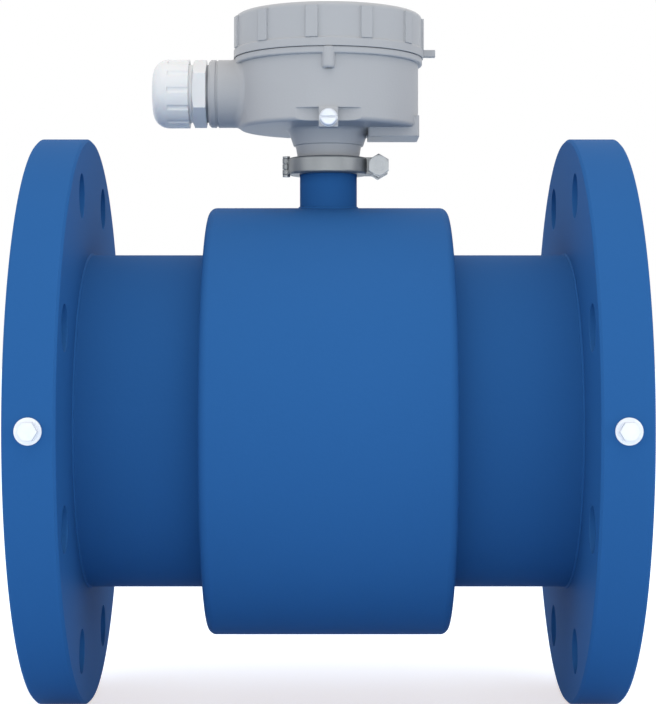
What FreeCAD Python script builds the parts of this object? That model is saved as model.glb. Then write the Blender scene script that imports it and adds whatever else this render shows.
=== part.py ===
import FreeCAD, Part
import math
import os
from types import SimpleNamespace

import Sketcher
from FreeCAD import Rotation, Vector

# Electromagnetic flow meter, nominal bore 150, built as one FreeCAD document.
# Frame: origin on the pipe axis half way between the two pipe faces, +X along the flow to the
# outlet, +Z up the neck to the junction head, -Y towards the side with the ground screws.

# ---------------------------------------------------------------------------------------------
# Driving dimensions, in millimetres and degrees
# ---------------------------------------------------------------------------------------------

SIZES = {
    # measuring tube and lining
    "face_length": 300.0,
    "tube_od": 168.3,
    "tube_wall": 4.5,
    "liner_thickness": 4.65,
    "liner_flare": 4.0,
    "liner_margin": 2.0,
    "liner_lip": 2.5,
    "fit_gap": 0.1,
    # pipe flanges
    "flange_od": 285.0,
    "flange_thickness": 24.0,
    "flange_edge": 1.2,
    "face_step": 2.0,
    "face_margin": 3.0,
    "bolt_count": 8,
    "bolt_margin": 22.5,
    "bolt_hole": 22.0,
    # coil housing round the tube
    "drum_rise": 23.85,
    "drum_width": 120.0,
    "drum_wall": 3.0,
    "drum_edge": 4.0,
    "cap_depth": 14.0,
    # magnet: pole shoes, cores, coils and return yoke
    "shoe_thickness": 3.0,
    "core_length": 44.0,
    "core_width": 28.0,
    "core_corner": 5.0,
    "winding_width": 14.0,
    "winding_gap": 0.8,
    "yoke_inset": 2.5,
    "yoke_thickness": 2.5,
    # electrodes
    "electrode_stem": 6.0,
    "electrode_head": 12.0,
    "electrode_head_thickness": 1.5,
    "electrode_recess": 0.2,
    "electrode_rise": 12.85,
    "sleeve_wall": 2.0,
    "sleeve_flange": 16.0,
    "sleeve_flange_thickness": 2.6,
    "electrode_nut_flats": 10.0,
    "electrode_nut_thickness": 5.0,
    # neck with its ferrule, and the gasket on it
    "neck_od": 29.0,
    "neck_wall": 3.5,
    "neck_rise": 20.75,
    "ferrule_lip": 2.8,
    "ferrule_rim": 1.5,
    "ferrule_taper": 1.0,
    "gasket_thickness": 1.0,
    "gasket_margin": 0.6,
    # two-part hinged clamp on the ferrules
    "clamp_wall": 3.3,
    "clamp_width": 8.5,
    "clamp_edge": 1.2,
    "clamp_clearance": 0.3,
    "clamp_split": 1.2,
    "ear_root": 2.0,
    "ear_length": 8.9,
    "ear_depth": 7.0,
    "ear_edge": 3.0,
    "hinge_stand": 0.8,
    "hinge_knuckle": 4.0,
    "hinge_pin": 2.2,
    "hinge_pin_head": 3.8,
    "hinge_pin_head_height": 1.0,
    "knuckle_gap": 0.15,
    "clamp_bolt_stand": 4.8,
    "clamp_bolt": 6.0,
    "clamp_bolt_flats": 10.0,
    "clamp_bolt_head": 4.0,
    "clamp_nut_thickness": 5.0,
    "clamp_bolt_overhang": 2.0,
    # junction box casting
    "stub_height": 18.25,
    "stub_inset": 1.5,
    "stub_collar": 1.9,
    "stub_collar_rise": 10.0,
    "stub_step": 1.0,
    "stub_root_spread": 2.8,
    "stub_root_radius": 3.0,
    "box_od": 91.4,
    "box_wall_height": 35.7,
    "box_floor": 4.0,
    "box_base_radius": 2.2,
    "rim_overhang": 2.0,
    "rim_height": 3.2,
    "rim_edge": 0.8,
    "spigot_inset": 2.2,
    "spigot_wall": 3.5,
    "spigot_height": 13.3,
    "facet_depth": 3.0,
    "facet_height": 6.3,
    "side_pad_width": 30.0,
    "side_pad_length": 25.7,
    "side_pad_top": 5.9,
    "side_pad_drop": 4.6,
    "side_pad_edge": 1.5,
    "ground_boss_width": 9.4,
    "ground_boss_stand": 0.7,
    "ground_boss_drop": 3.4,
    "ground_boss_top": 6.3,
    "lock_boss_od": 6.5,
    "lock_boss_height": 10.5,
    "lock_boss_edge": 1.3,
    "lock_hole": 3.4,
    "lock_screw_inset": 1.0,
    "lock_socket": 1.5,
    # conduit entry of the box
    "entry_rise": 18.4,
    "entry_od": 34.4,
    "entry_length": 14.9,
    "entry_thread": 25.0,
    "entry_groove_offset": 3.6,
    "entry_groove_width": 1.2,
    "entry_groove_depth": 0.5,
    "entry_chamfer": 1.2,
    "entry_root_radius": 4.0,
    # cable gland in the entry
    "gland_washer_thickness": 1.2,
    "gland_flats": 30.0,
    "gland_hex_length": 7.0,
    "gland_stem_in": 12.0,
    "gland_neck_od": 29.2,
    "gland_neck_length": 13.0,
    "gland_bore": 18.0,
    "bush_seat": 11.0,
    "bush_wall": 5.2,
    "bush_bore": 12.0,
    "bush_overhang": 2.0,
    "nut_od": 34.8,
    "nut_length": 18.6,
    "nut_gap": 1.7,
    "nut_dome": 8.0,
    "nut_mouth": 15.0,
    "nut_flute_count": 12,
    "nut_flute_depth": 0.5,
    "nut_flute_width": 5.0,
    "run_gap": 0.3,
    # screwed cover and its sealing ring
    "cover_gap": 0.3,
    "cover_height": 22.0,
    "cover_wall": 4.0,
    "cover_skirt_step": 0.7,
    "cover_skirt_height": 4.3,
    "cover_skirt_edge": 0.4,
    "cover_top": 4.5,
    "cover_edge": 2.5,
    "rib_width": 6.0,
    "rib_depth": 1.0,
    "rib_count": 11,
    "rib_phase": -9.8,
    "rib_top_margin": 2.0,
    "lug_length": 6.8,
    "lug_width": 5.0,
    "lug_rise": 1.1,
    "lug_height": 3.4,
    "lug_hole": 1.6,
    "seal_section": 2.0,
    "seal_groove_depth": 1.6,
    "seal_groove_width": 2.8,
    "seal_groove_rise": 1.3,
    # terminals inside the box
    "terminal_length": 44.0,
    "terminal_depth": 15.0,
    "terminal_height": 13.0,
    "terminal_inset": 19.0,
    "terminal_step": 5.0,
    "terminal_pitch": 8.0,
    "terminal_count": 5,
    "terminal_well": 5.0,
    "terminal_well_depth": 3.0,
    "terminal_screw": 4.4,
    "standoff_height": 2.0,
    "standoff_od": 7.0,
    "fixing_screw": 3.0,
    "fixing_head_od": 4.8,
    "fixing_head": 1.8,
    "fixing_depth": 4.0,
    "fixing_spacing": 36.0,
    "inner_boss_inset": 12.0,
    "inner_boss_od": 9.0,
    "inner_boss_height": 5.0,
    # screws and leads
    "ground_screw": 5.0,
    "ground_screw_flats": 8.0,
    "ground_screw_head": 3.5,
    "ground_screw_depth": 12.0,
    "ground_washer_od": 12.3,
    "ground_washer_thickness": 1.4,
    "case_screw": 4.0,
    "case_screw_head_od": 8.6,
    "case_screw_head": 2.4,
    "case_screw_depth": 8.0,
    "case_screw_rise": 1.1,
    "case_washer_od": 9.0,
    "case_washer_thickness": 0.8,
    "slot_width": 0.9,
    "lead_od": 8.0,
    "lead_end_rise": 10.0,
    "grommet_rise": 6.0,
    "grommet_flange": 2.0,
}

# ---------------------------------------------------------------------------------------------
# The document, its sheet, and sizes that carry their formula
# ---------------------------------------------------------------------------------------------

doc = FreeCAD.newDocument("flow_meter")
pieces = []


class Size:
    """A number together with the spreadsheet formula that it comes from."""

    def __init__(self, value, formula):
        self.value = value
        self.formula = formula

    def __add__(self, other):
        other = as_size(other)
        return Size(self.value + other.value, f"({self.formula} + {other.formula})")

    def __sub__(self, other):
        other = as_size(other)
        return Size(self.value - other.value, f"({self.formula} - {other.formula})")

    def __mul__(self, other):
        other = as_size(other)
        return Size(self.value * other.value, f"({self.formula} * {other.formula})")

    def __truediv__(self, other):
        other = as_size(other)
        return Size(self.value / other.value, f"({self.formula} / {other.formula})")

    def __neg__(self):
        return Size(-self.value, f"(-1 * {self.formula})")

    def __rsub__(self, other):
        return as_size(other) - self

    __radd__ = __add__
    __rmul__ = __mul__


def as_size(item):
    return item if isinstance(item, Size) else Size(float(item), f"{float(item)}")


def smaller(first, second):
    return Size(min(first.value, second.value), f"min({first.formula}; {second.formula})")


def cosine(degrees):
    return Size(math.cos(math.radians(degrees.value)), f"cos({degrees.formula})")


def sine(degrees):
    return Size(math.sin(math.radians(degrees.value)), f"sin({degrees.formula})")


def make_sheet():
    """Write every driving dimension into a sheet and return them as sizes."""
    sheet = doc.addObject("Spreadsheet::Sheet", "Sizes")
    sizes = SimpleNamespace()
    for row, (name, value) in enumerate(SIZES.items(), start=1):
        sheet.set(f"A{row}", name)
        sheet.set(f"B{row}", str(value))
        sheet.setAlias(f"B{row}", name)
        setattr(sizes, name, Size(float(value), f"Sizes.{name}"))
    doc.recompute()
    return sizes


s = make_sheet()
ZERO = as_size(0)
HEX_CORNER = 1 / math.cos(math.radians(30))    # corner radius of a hexagon over half its flats
HEX_TURNED = 0.97     # share of the flats that stays flat on a turned hexagon face
DOMED_HEAD = 0.55     # share of a pan head's height that its rounded edge takes
OVERCUT = as_size(1)  # how far a cut runs past the face that it opens
NEAR = 0.01           # how close a point lies to the edge that is looked for
EDGE_OF_WALL = 0.85   # most of a wall's thickness that the rounding of its end takes


def bind(item, name, size):
    """Tie one property of a document object to its formula."""
    item.setExpression(name, as_size(size).formula)


# ---------------------------------------------------------------------------------------------
# Sketches and features
# ---------------------------------------------------------------------------------------------


def new_body(label):
    body = doc.addObject("PartDesign::Body", label)
    body.Label = label
    pieces.append(body)
    return body


def new_sketch(body, plane, lift=None):
    """A sketch on one of the body's own origin planes, lifted along the plane's normal."""
    sketch = body.newObject("Sketcher::SketchObject", "Sketch")
    origin_plane = next(f for f in body.Origin.OriginFeatures if f.Role == plane + "_Plane")
    sketch.AttachmentSupport = [(origin_plane, "")]
    sketch.MapMode = "FlatFace"
    if lift is not None:
        bind(sketch, "AttachmentOffset.Base.z", lift)
    return sketch


def constrain(sketch, kind, places, size=None):
    """Add one constraint, bound to its formula where it has a size."""
    value = [] if size is None else [as_size(size).value]
    index = sketch.addConstraint(Sketcher.Constraint(kind, *places, *value))
    if size is not None:
        bind(sketch, f"Constraints[{index}]", size)


def fix_point(sketch, point, x, y):
    constrain(sketch, "DistanceX", point, x)
    constrain(sketch, "DistanceY", point, y)


def rounding(before, corner, after, radius):
    """Tangent points and centre of an arc of the given radius in a corner."""
    back = (before - corner).normalize()
    ahead = (after - corner).normalize()
    half = back.getAngle(ahead) / 2
    leg = radius / math.tan(half)
    middle = (back + ahead).normalize()
    return corner + back * leg, corner + ahead * leg, corner + middle * (radius / math.sin(half))


def outline(sketch, corners):
    """Draw a closed outline; each corner is (x, y), or (x, y, radius) where it is rounded."""
    places = [Vector(as_size(c[0]).value, as_size(c[1]).value, 0) for c in corners]
    radii = [c[2] if len(c) > 2 else None for c in corners]
    count = len(corners)
    leave, arrive, centres = [], [], []
    for i, place in enumerate(places):
        start, end, centre = place, place, None
        if radii[i] is not None:
            start, end, centre = rounding(
                places[i - 1], place, places[(i + 1) % count], radii[i].value
            )
        arrive.append(start)
        leave.append(end)
        centres.append(centre)
    sides = [
        sketch.addGeometry(Part.LineSegment(leave[i], arrive[(i + 1) % count]), False)
        for i in range(count)
    ]
    for i, (x, y, *_) in enumerate(corners):
        before, after = sides[i - 1], sides[i]
        if radii[i] is None:
            constrain(sketch, "Coincident", (before, 2, after, 1))
            fix_point(sketch, (after, 1), x, y)
        else:
            round_corner(sketch, before, after, (arrive[i], leave[i], centres[i]), radii[i])
            fix_point(sketch, corner_point(sketch, before, after, places[i]), x, y)


def round_corner(sketch, before, after, arc_places, radius):
    """Join two sides by a tangent arc."""
    start, end, centre = arc_places
    first = math.atan2(start.y - centre.y, start.x - centre.x)
    last = math.atan2(end.y - centre.y, end.x - centre.x)
    turns_left = math.remainder(last - first, 2 * math.pi) > 0
    low, high = (first, last) if turns_left else (last, first)
    circle = Part.Circle(centre, Vector(0, 0, 1), radius.value)
    arc = sketch.addGeometry(Part.ArcOfCircle(circle, low, high), False)
    start_end, end_end = (1, 2) if turns_left else (2, 1)
    constrain(sketch, "Tangent", (before, 2, arc, start_end))
    constrain(sketch, "Tangent", (arc, end_end, after, 1))
    constrain(sketch, "Radius", (arc,), radius)


def corner_point(sketch, before, after, place):
    """The virtual corner that a rounding replaces, kept on both sides."""
    point = sketch.addGeometry(Part.Point(place), True)
    constrain(sketch, "PointOnObject", (point, 1, before))
    constrain(sketch, "PointOnObject", (point, 1, after))
    return point, 1


def ring(sketch, diameter, x=ZERO, y=ZERO):
    """Draw a circle."""
    place = Vector(as_size(x).value, as_size(y).value, 0)
    circle = Part.Circle(place, Vector(0, 0, 1), as_size(diameter).value / 2)
    index = sketch.addGeometry(circle, False)
    constrain(sketch, "Diameter", (index,), diameter)
    fix_point(sketch, (index, 3), x, y)


def rectangle(sketch, left, right, low, high, corner=None):
    """Draw a rectangle, with rounded corners if a radius is given."""
    more = () if corner is None else (corner,)
    outline(sketch, [(left, low, *more), (right, low, *more), (right, high, *more), (left, high, *more)])


def hexagon(sketch, flats, first_corner=0):
    """Draw a hexagon across flats, its first corner at an angle from the sketch's x axis."""
    reach = flats / 2 * HEX_CORNER
    angles = [math.radians(first_corner + 60 * i) for i in range(6)]
    outline(sketch, [(reach * math.cos(a), reach * math.sin(a)) for a in angles])


def add_feature(body, kind, sketch):
    feature = body.newObject("PartDesign::" + kind, kind)
    feature.Profile = sketch
    return feature


def finish_cut(body, volume_before):
    """A cut that removes nothing points the wrong way."""
    doc.recompute()
    if not body.Shape.Volume < volume_before - NEAR:
        raise RuntimeError(f"a cut in {body.Label} removes nothing")


def revolve(body, axis, corners, half=False):
    """Turn an outline drawn on the XZ plane about that plane's own X or Z axis."""
    sketch = new_sketch(body, "XZ")
    outline(sketch, corners)
    feature = add_feature(body, "Revolution", sketch)
    feature.ReferenceAxis = (sketch, [{"X": "H_Axis", "Z": "V_Axis"}[axis]])
    feature.Angle = 180 if half else 360
    return feature


def groove(body, axis, corners):
    """Remove an outline turned about the X or Z axis."""
    doc.recompute()
    volume = body.Shape.Volume
    sketch = new_sketch(body, "XZ")
    outline(sketch, corners)
    feature = add_feature(body, "Groove", sketch)
    feature.ReferenceAxis = (sketch, [{"X": "H_Axis", "Z": "V_Axis"}[axis]])
    feature.Angle = 360
    finish_cut(body, volume)
    return feature


def pad(body, sketch, length, both=False, reverse=False):
    feature = add_feature(body, "Pad", sketch)
    feature.SideType = "Symmetric" if both else "One side"
    feature.Reversed = reverse
    bind(feature, "Length", length)
    return feature


def pocket(body, sketch, length=None, both=False, reverse=False):
    """Cut a sketch to a length, or right through when no length is given."""
    doc.recompute()
    volume = body.Shape.Volume
    feature = add_feature(body, "Pocket", sketch)
    feature.SideType = "Symmetric" if both else "One side"
    feature.Reversed = reverse
    feature.Type = "ThroughAll" if length is None else "Length"
    if length is not None:
        bind(feature, "Length", length)
    finish_cut(body, volume)
    return feature


def polar(body, originals, sketch_axis, count):
    """Repeat features about an axis of a sketch and make the pattern the body's tip."""
    doc.recompute()
    pattern = body.newObject("PartDesign::PolarPattern", "PolarPattern")
    pattern.Originals = originals
    pattern.Axis = sketch_axis
    pattern.Angle = 360
    bind(pattern, "Occurrences", count)
    body.Tip = pattern
    doc.recompute()
    return pattern


def edges_where(body, wanted):
    """Names of the body's edges whose sample points all pass a test."""
    doc.recompute()
    names = []
    for number, edge in enumerate(body.Shape.Edges, start=1):
        points = edge.discretize(5)
        if all(wanted(point) for point in points):
            names.append(f"Edge{number}")
    if not names:
        raise RuntimeError(f"no edge to finish in {body.Label}")
    return names


def dress_edges(body, kind, wanted, size_name, size):
    """Fillet or chamfer the edges that pass a test."""
    names = edges_where(body, wanted)
    feature = body.newObject("PartDesign::" + kind, kind)
    feature.Base = (feature.BaseFeature or body.Tip, names)
    bind(feature, size_name, size)
    doc.recompute()
    return feature


def place(item, x=ZERO, y=ZERO, z=ZERO, rotation=None):
    """Turn a finished piece and move it to its seat."""
    if rotation is not None:
        item.Placement = FreeCAD.Placement(Vector(), rotation)
    for axis, size in zip("xyz", (x, y, z)):
        bind(item, f"Placement.Base.{axis}", size)


FACING_FRONT = Rotation(Vector(0, 0, 1), Vector(0, -1, 0))
FACING_BACK = Rotation(Vector(0, 0, 1), Vector(0, 1, 0))

# ---------------------------------------------------------------------------------------------
# Levels and radii that several pieces share
# ---------------------------------------------------------------------------------------------

TUBE_RADIUS = s.tube_od / 2
TUBE_INNER = TUBE_RADIUS - s.tube_wall
LINER_RADIUS = TUBE_INNER - s.liner_thickness
FACE_PLANE = s.face_length / 2 - s.liner_flare
LIP_SEAT = FACE_PLANE + s.fit_gap
PLATE_PLANE = FACE_PLANE - s.face_step
PLATE_BACK = PLATE_PLANE - s.flange_thickness
PLATE_MIDDLE = PLATE_PLANE - s.flange_thickness / 2
FLANGE_RADIUS = s.flange_od / 2
BOLT_CIRCLE_RADIUS = FLANGE_RADIUS - s.bolt_margin
FACE_RADIUS = BOLT_CIRCLE_RADIUS - s.bolt_hole / 2 - s.face_margin
DRUM_RADIUS = TUBE_RADIUS + s.drum_rise
DRUM_INNER = DRUM_RADIUS - s.drum_wall
NECK_TOP = DRUM_RADIUS + s.neck_rise
NECK_BORE = s.neck_od - s.neck_wall * 2
FERRULE_RADIUS = s.neck_od / 2 + s.ferrule_lip
STUB_BOTTOM = NECK_TOP + s.gasket_thickness
CLAMP_MIDDLE = NECK_TOP + s.gasket_thickness / 2
CLAMP_BOTTOM = CLAMP_MIDDLE - s.clamp_width / 2
CLAMP_TOP = CLAMP_MIDDLE + s.clamp_width / 2
CLAMP_RADIUS = FERRULE_RADIUS + s.clamp_wall
HINGE_OFFSET = CLAMP_RADIUS + s.hinge_stand
CLAMP_BOLT_OFFSET = CLAMP_RADIUS + s.clamp_bolt_stand
STUB_RADIUS = FERRULE_RADIUS - s.stub_inset
BOX_BASE = STUB_BOTTOM + s.stub_height
BOX_FLOOR = BOX_BASE + s.box_floor
RIM_TOP = BOX_BASE + s.box_wall_height
BOX_RADIUS = s.box_od / 2
SPIGOT_RADIUS = BOX_RADIUS - s.spigot_inset
CAVITY_RADIUS = SPIGOT_RADIUS - s.spigot_wall
ENTRY_REACH = BOX_RADIUS + s.entry_length
ENTRY_HEIGHT = BOX_BASE + s.entry_rise
COVER_BOTTOM = RIM_TOP + s.cover_gap
COVER_RADIUS = SPIGOT_RADIUS + s.cover_wall
GROUND_BOSS_REACH = BOX_RADIUS + s.ground_boss_stand
INNER_BOSS_OFFSET = CAVITY_RADIUS - s.inner_boss_inset
BLOCK_BASE = BOX_FLOOR + s.standoff_height
BLOCK_TOP = BLOCK_BASE + s.terminal_height
BLOCK_MIDDLE = CAVITY_RADIUS - s.terminal_inset
BLOCK_FRONT = BLOCK_MIDDLE - s.terminal_depth / 2
FIXING_OFFSET = BLOCK_FRONT + s.terminal_step / 2
WELL_OFFSET = BLOCK_MIDDLE + s.terminal_step / 2
GLAND_SEAT = ENTRY_REACH + s.gland_washer_thickness
GLAND_SHOULDER = GLAND_SEAT + s.gland_hex_length
GLAND_END = GLAND_SHOULDER + s.gland_neck_length
BUSH_RADIUS = s.bush_bore / 2 + s.bush_wall
BUSH_START = GLAND_END - s.bush_seat
BUSH_END = GLAND_END + s.bush_overhang
SEAL_INNER = SPIGOT_RADIUS - s.seal_groove_depth + s.run_gap
SEAL_OUTER = SEAL_INNER + s.seal_section
SHOE_INNER = TUBE_RADIUS + s.fit_gap
SHOE_OUTER = SHOE_INNER + s.shoe_thickness
YOKE_OUTER = DRUM_INNER - s.yoke_inset
YOKE_INNER = YOKE_OUTER - s.yoke_thickness

# ---------------------------------------------------------------------------------------------
# Measuring tube, lining and flanges
# ---------------------------------------------------------------------------------------------


def cross_hole(body, diameter):
    """Drill right through the pipe wall on both sides, along Y at mid length."""
    sketch = new_sketch(body, "XZ")
    ring(sketch, diameter)
    pocket(body, sketch, both=True)


def make_measuring_tube():
    body = new_body("measuring_tube")
    revolve(body, "X", [
        (-FACE_PLANE, TUBE_INNER), (FACE_PLANE, TUBE_INNER),
        (FACE_PLANE, TUBE_RADIUS), (-FACE_PLANE, TUBE_RADIUS),
    ])
    cross_hole(body, s.electrode_stem + s.sleeve_wall * 2 + s.fit_gap * 2)


def make_liner():
    """Lining sleeve in the tube, drilled for the electrodes and recessed for their heads."""
    body = new_body("liner")
    sleeve = TUBE_INNER - s.fit_gap
    revolve(body, "X", [
        (-LIP_SEAT, LINER_RADIUS), (LIP_SEAT, LINER_RADIUS), (LIP_SEAT, sleeve), (-LIP_SEAT, sleeve),
    ])
    cross_hole(body, s.electrode_stem + s.fit_gap * 2)
    heads = new_sketch(body, "XZ")
    ring(heads, s.electrode_head + s.fit_gap * 2)
    depth = LINER_RADIUS + s.electrode_recess + s.electrode_head_thickness + s.fit_gap
    pocket(body, heads, depth * 2, both=True)


def make_liner_lip(position, side):
    """End of the lining, turned out over the raised face, its mouth rounded."""
    body = new_body("liner_lip_" + position)
    end = s.face_length / 2 * side
    flare = FACE_RADIUS - s.liner_margin
    revolve(body, "X", [
        (LIP_SEAT * side, LINER_RADIUS), (end, LINER_RADIUS, s.liner_lip),
        (end, flare), (LIP_SEAT * side, flare),
    ])


def make_flange(label, side):
    """Plate flange with a raised face, drilled bolt circle and a tapped ground hole."""
    body = new_body(label)
    bore = TUBE_RADIUS + s.fit_gap
    rim = FLANGE_RADIUS
    edge = s.flange_edge
    plate = revolve(body, "X", [
        (PLATE_BACK * side, bore), (PLATE_BACK * side, rim - edge),
        ((PLATE_BACK + edge) * side, rim), ((PLATE_PLANE - edge) * side, rim),
        (PLATE_PLANE * side, rim - edge), (PLATE_PLANE * side, FACE_RADIUS),
        (FACE_PLANE * side, FACE_RADIUS), (FACE_PLANE * side, bore),
    ])
    holes = new_sketch(body, "YZ")
    half_step = as_size(180) / s.bolt_count
    ring(holes, s.bolt_hole, BOLT_CIRCLE_RADIUS * sine(half_step),
         BOLT_CIRCLE_RADIUS * cosine(half_step))
    drilled = pocket(body, holes, reverse=side > 0)
    polar(body, [drilled], (plate.Profile[0], ["H_Axis"]), s.bolt_count)
    tapped = new_sketch(body, "XZ", rim - s.ground_screw_depth)
    ring(tapped, s.ground_screw + s.fit_gap * 2, PLATE_MIDDLE * side)
    pocket(body, tapped, s.ground_screw_depth + OVERCUT, reverse=True)


# ---------------------------------------------------------------------------------------------
# Coil housing
# ---------------------------------------------------------------------------------------------


def make_housing_shell():
    """Rolled mantle with the hole that the neck stands over."""
    body = new_body("housing_shell")
    half = s.drum_width / 2 - s.cap_depth
    revolve(body, "X", [
        (-half, DRUM_INNER), (half, DRUM_INNER), (half, DRUM_RADIUS), (-half, DRUM_RADIUS),
    ])
    hole = new_sketch(body, "XY")
    ring(hole, NECK_BORE)
    pocket(body, hole, reverse=True)


def make_housing_end(label, side):
    """Pressed end cap: a disc round the tube with its rim turned in to meet the mantle."""
    body = new_body(label)
    face = s.drum_width / 2
    back = face - s.cap_depth
    hole = TUBE_RADIUS + s.fit_gap
    revolve(body, "X", [
        (back * side, DRUM_RADIUS), (face * side, DRUM_RADIUS, s.drum_edge),
        (face * side, hole), ((face - s.drum_wall) * side, hole),
        ((face - s.drum_wall) * side, DRUM_INNER, s.drum_edge - s.drum_wall),
        (back * side, DRUM_INNER),
    ])


# ---------------------------------------------------------------------------------------------
# Magnet
# ---------------------------------------------------------------------------------------------


def saddle(label, side, inner, outer, half_length, half_width, corner, window=None):
    """A block cut to two cylinders about the pipe axis, above or below the tube."""
    body = new_body(label)
    base = new_sketch(body, "XY", inner / 2 * side)
    rectangle(base, -half_length, half_length, -half_width, half_width, corner)
    if window is not None:
        length, width, radius = window
        rectangle(base, -length, length, -width, width, radius)
    pad(body, base, outer, reverse=side < 0)
    hollow = new_sketch(body, "YZ")
    ring(hollow, inner * 2)
    pocket(body, hollow, both=True)
    outside = new_sketch(body, "YZ")
    ring(outside, outer * 2)
    ring(outside, outer * 4)
    pocket(body, outside, both=True)


def make_magnet(position, side):
    """Pole shoe on the tube, core on the shoe and coil round the core."""
    length = s.core_length / 2
    width = s.core_width / 2
    gap = s.winding_gap
    wind = s.winding_width
    coil_length = length + gap + wind
    coil_width = width + gap + wind
    shoe_top = SHOE_OUTER + s.fit_gap
    saddle("pole_shoe_" + position, side, SHOE_INNER, SHOE_OUTER, coil_length, coil_width,
           s.core_corner)
    saddle("pole_core_" + position, side, shoe_top, YOKE_INNER - s.fit_gap, length, width,
           s.core_corner)
    saddle("coil_" + position, side, shoe_top, YOKE_INNER - gap, coil_length, coil_width,
           s.core_corner + wind, (length + gap, width + gap, s.core_corner))


def make_yoke_ring():
    body = new_body("yoke_ring")
    half = s.core_length / 2
    revolve(body, "X", [
        (-half, YOKE_INNER), (half, YOKE_INNER), (half, YOKE_OUTER), (-half, YOKE_OUTER),
    ])


# ---------------------------------------------------------------------------------------------
# Electrodes, their insulating sleeves and nuts
# ---------------------------------------------------------------------------------------------


def make_electrode(position, facing):
    """Headed pin through lining and tube, along its own +Z from the pipe axis outwards."""
    head_face = LINER_RADIUS + s.electrode_recess
    head_back = head_face + s.electrode_head_thickness
    stem = s.electrode_stem / 2
    end = TUBE_RADIUS + s.electrode_rise
    body = new_body("electrode_" + position)
    revolve(body, "Z", [
        (ZERO, head_face), (s.electrode_head / 2, head_face), (s.electrode_head / 2, head_back),
        (stem, head_back), (stem, end), (ZERO, end),
    ])
    place(body, rotation=facing)


def make_electrode_sleeve(position, facing):
    body = new_body("electrode_sleeve_" + position)
    bore = s.electrode_stem / 2 + s.fit_gap
    outer = s.electrode_stem / 2 + s.sleeve_wall
    seat = TUBE_RADIUS + s.fit_gap
    top = seat + s.sleeve_flange_thickness
    start = TUBE_INNER + s.fit_gap
    revolve(body, "Z", [
        (bore, start), (outer, start), (outer, seat), (s.sleeve_flange / 2, seat),
        (s.sleeve_flange / 2, top), (bore, top),
    ])
    place(body, rotation=facing)


def make_electrode_nut(position, facing):
    body = new_body("electrode_nut_" + position)
    base = TUBE_RADIUS + s.fit_gap + s.sleeve_flange_thickness
    sketch = new_sketch(body, "XY", base)
    hexagon(sketch, s.electrode_nut_flats)
    ring(sketch, s.electrode_stem + s.fit_gap * 2)
    pad(body, sketch, s.electrode_nut_thickness)
    place(body, rotation=facing)


# ---------------------------------------------------------------------------------------------
# Neck, gasket and the sensor lead in it
# ---------------------------------------------------------------------------------------------


def make_neck_tube():
    """Tube saddled on the mantle, with a tapered ferrule at its top."""
    body = new_body("neck_tube")
    radius = s.neck_od / 2
    bore = NECK_BORE / 2
    rim_bottom = NECK_TOP - s.ferrule_rim
    revolve(body, "Z", [
        (bore, DRUM_INNER), (radius, DRUM_INNER), (radius, rim_bottom - s.ferrule_taper),
        (FERRULE_RADIUS, rim_bottom), (FERRULE_RADIUS, NECK_TOP), (bore, NECK_TOP),
    ])
    saddle_cut = new_sketch(body, "YZ")
    ring(saddle_cut, (DRUM_RADIUS + s.fit_gap) * 2)
    pocket(body, saddle_cut, both=True)


def make_neck_gasket():
    body = new_body("neck_gasket")
    sketch = new_sketch(body, "XY", NECK_TOP)
    ring(sketch, (FERRULE_RADIUS - s.gasket_margin) * 2)
    ring(sketch, NECK_BORE + s.gasket_margin * 2)
    pad(body, sketch, s.gasket_thickness)


def make_neck_grommet():
    """Rubber plug in the top of the neck that holds the lead."""
    body = new_body("neck_grommet")
    bore = s.lead_od / 2 + s.fit_gap
    outer = NECK_BORE / 2 - s.fit_gap
    bottom = NECK_TOP - s.grommet_rise
    revolve(body, "Z", [
        (bore, bottom), (outer - s.grommet_flange / 2, bottom), (outer, bottom + s.grommet_flange),
        (outer, NECK_TOP), (bore, NECK_TOP),
    ])


def make_sensor_lead():
    """Sheathed lead from the yoke up through the neck to above the box floor."""
    body = new_body("sensor_lead")
    start = YOKE_OUTER + s.fit_gap
    sketch = new_sketch(body, "XY", start)
    ring(sketch, s.lead_od)
    pad(body, sketch, BOX_FLOOR + s.lead_end_rise - start)


# ---------------------------------------------------------------------------------------------
# Hinged clamp
# ---------------------------------------------------------------------------------------------


def cylinder_sketch(body, bottom, diameter, x=ZERO):
    sketch = new_sketch(body, "XY", bottom)
    ring(sketch, diameter, x)
    return sketch


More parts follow.
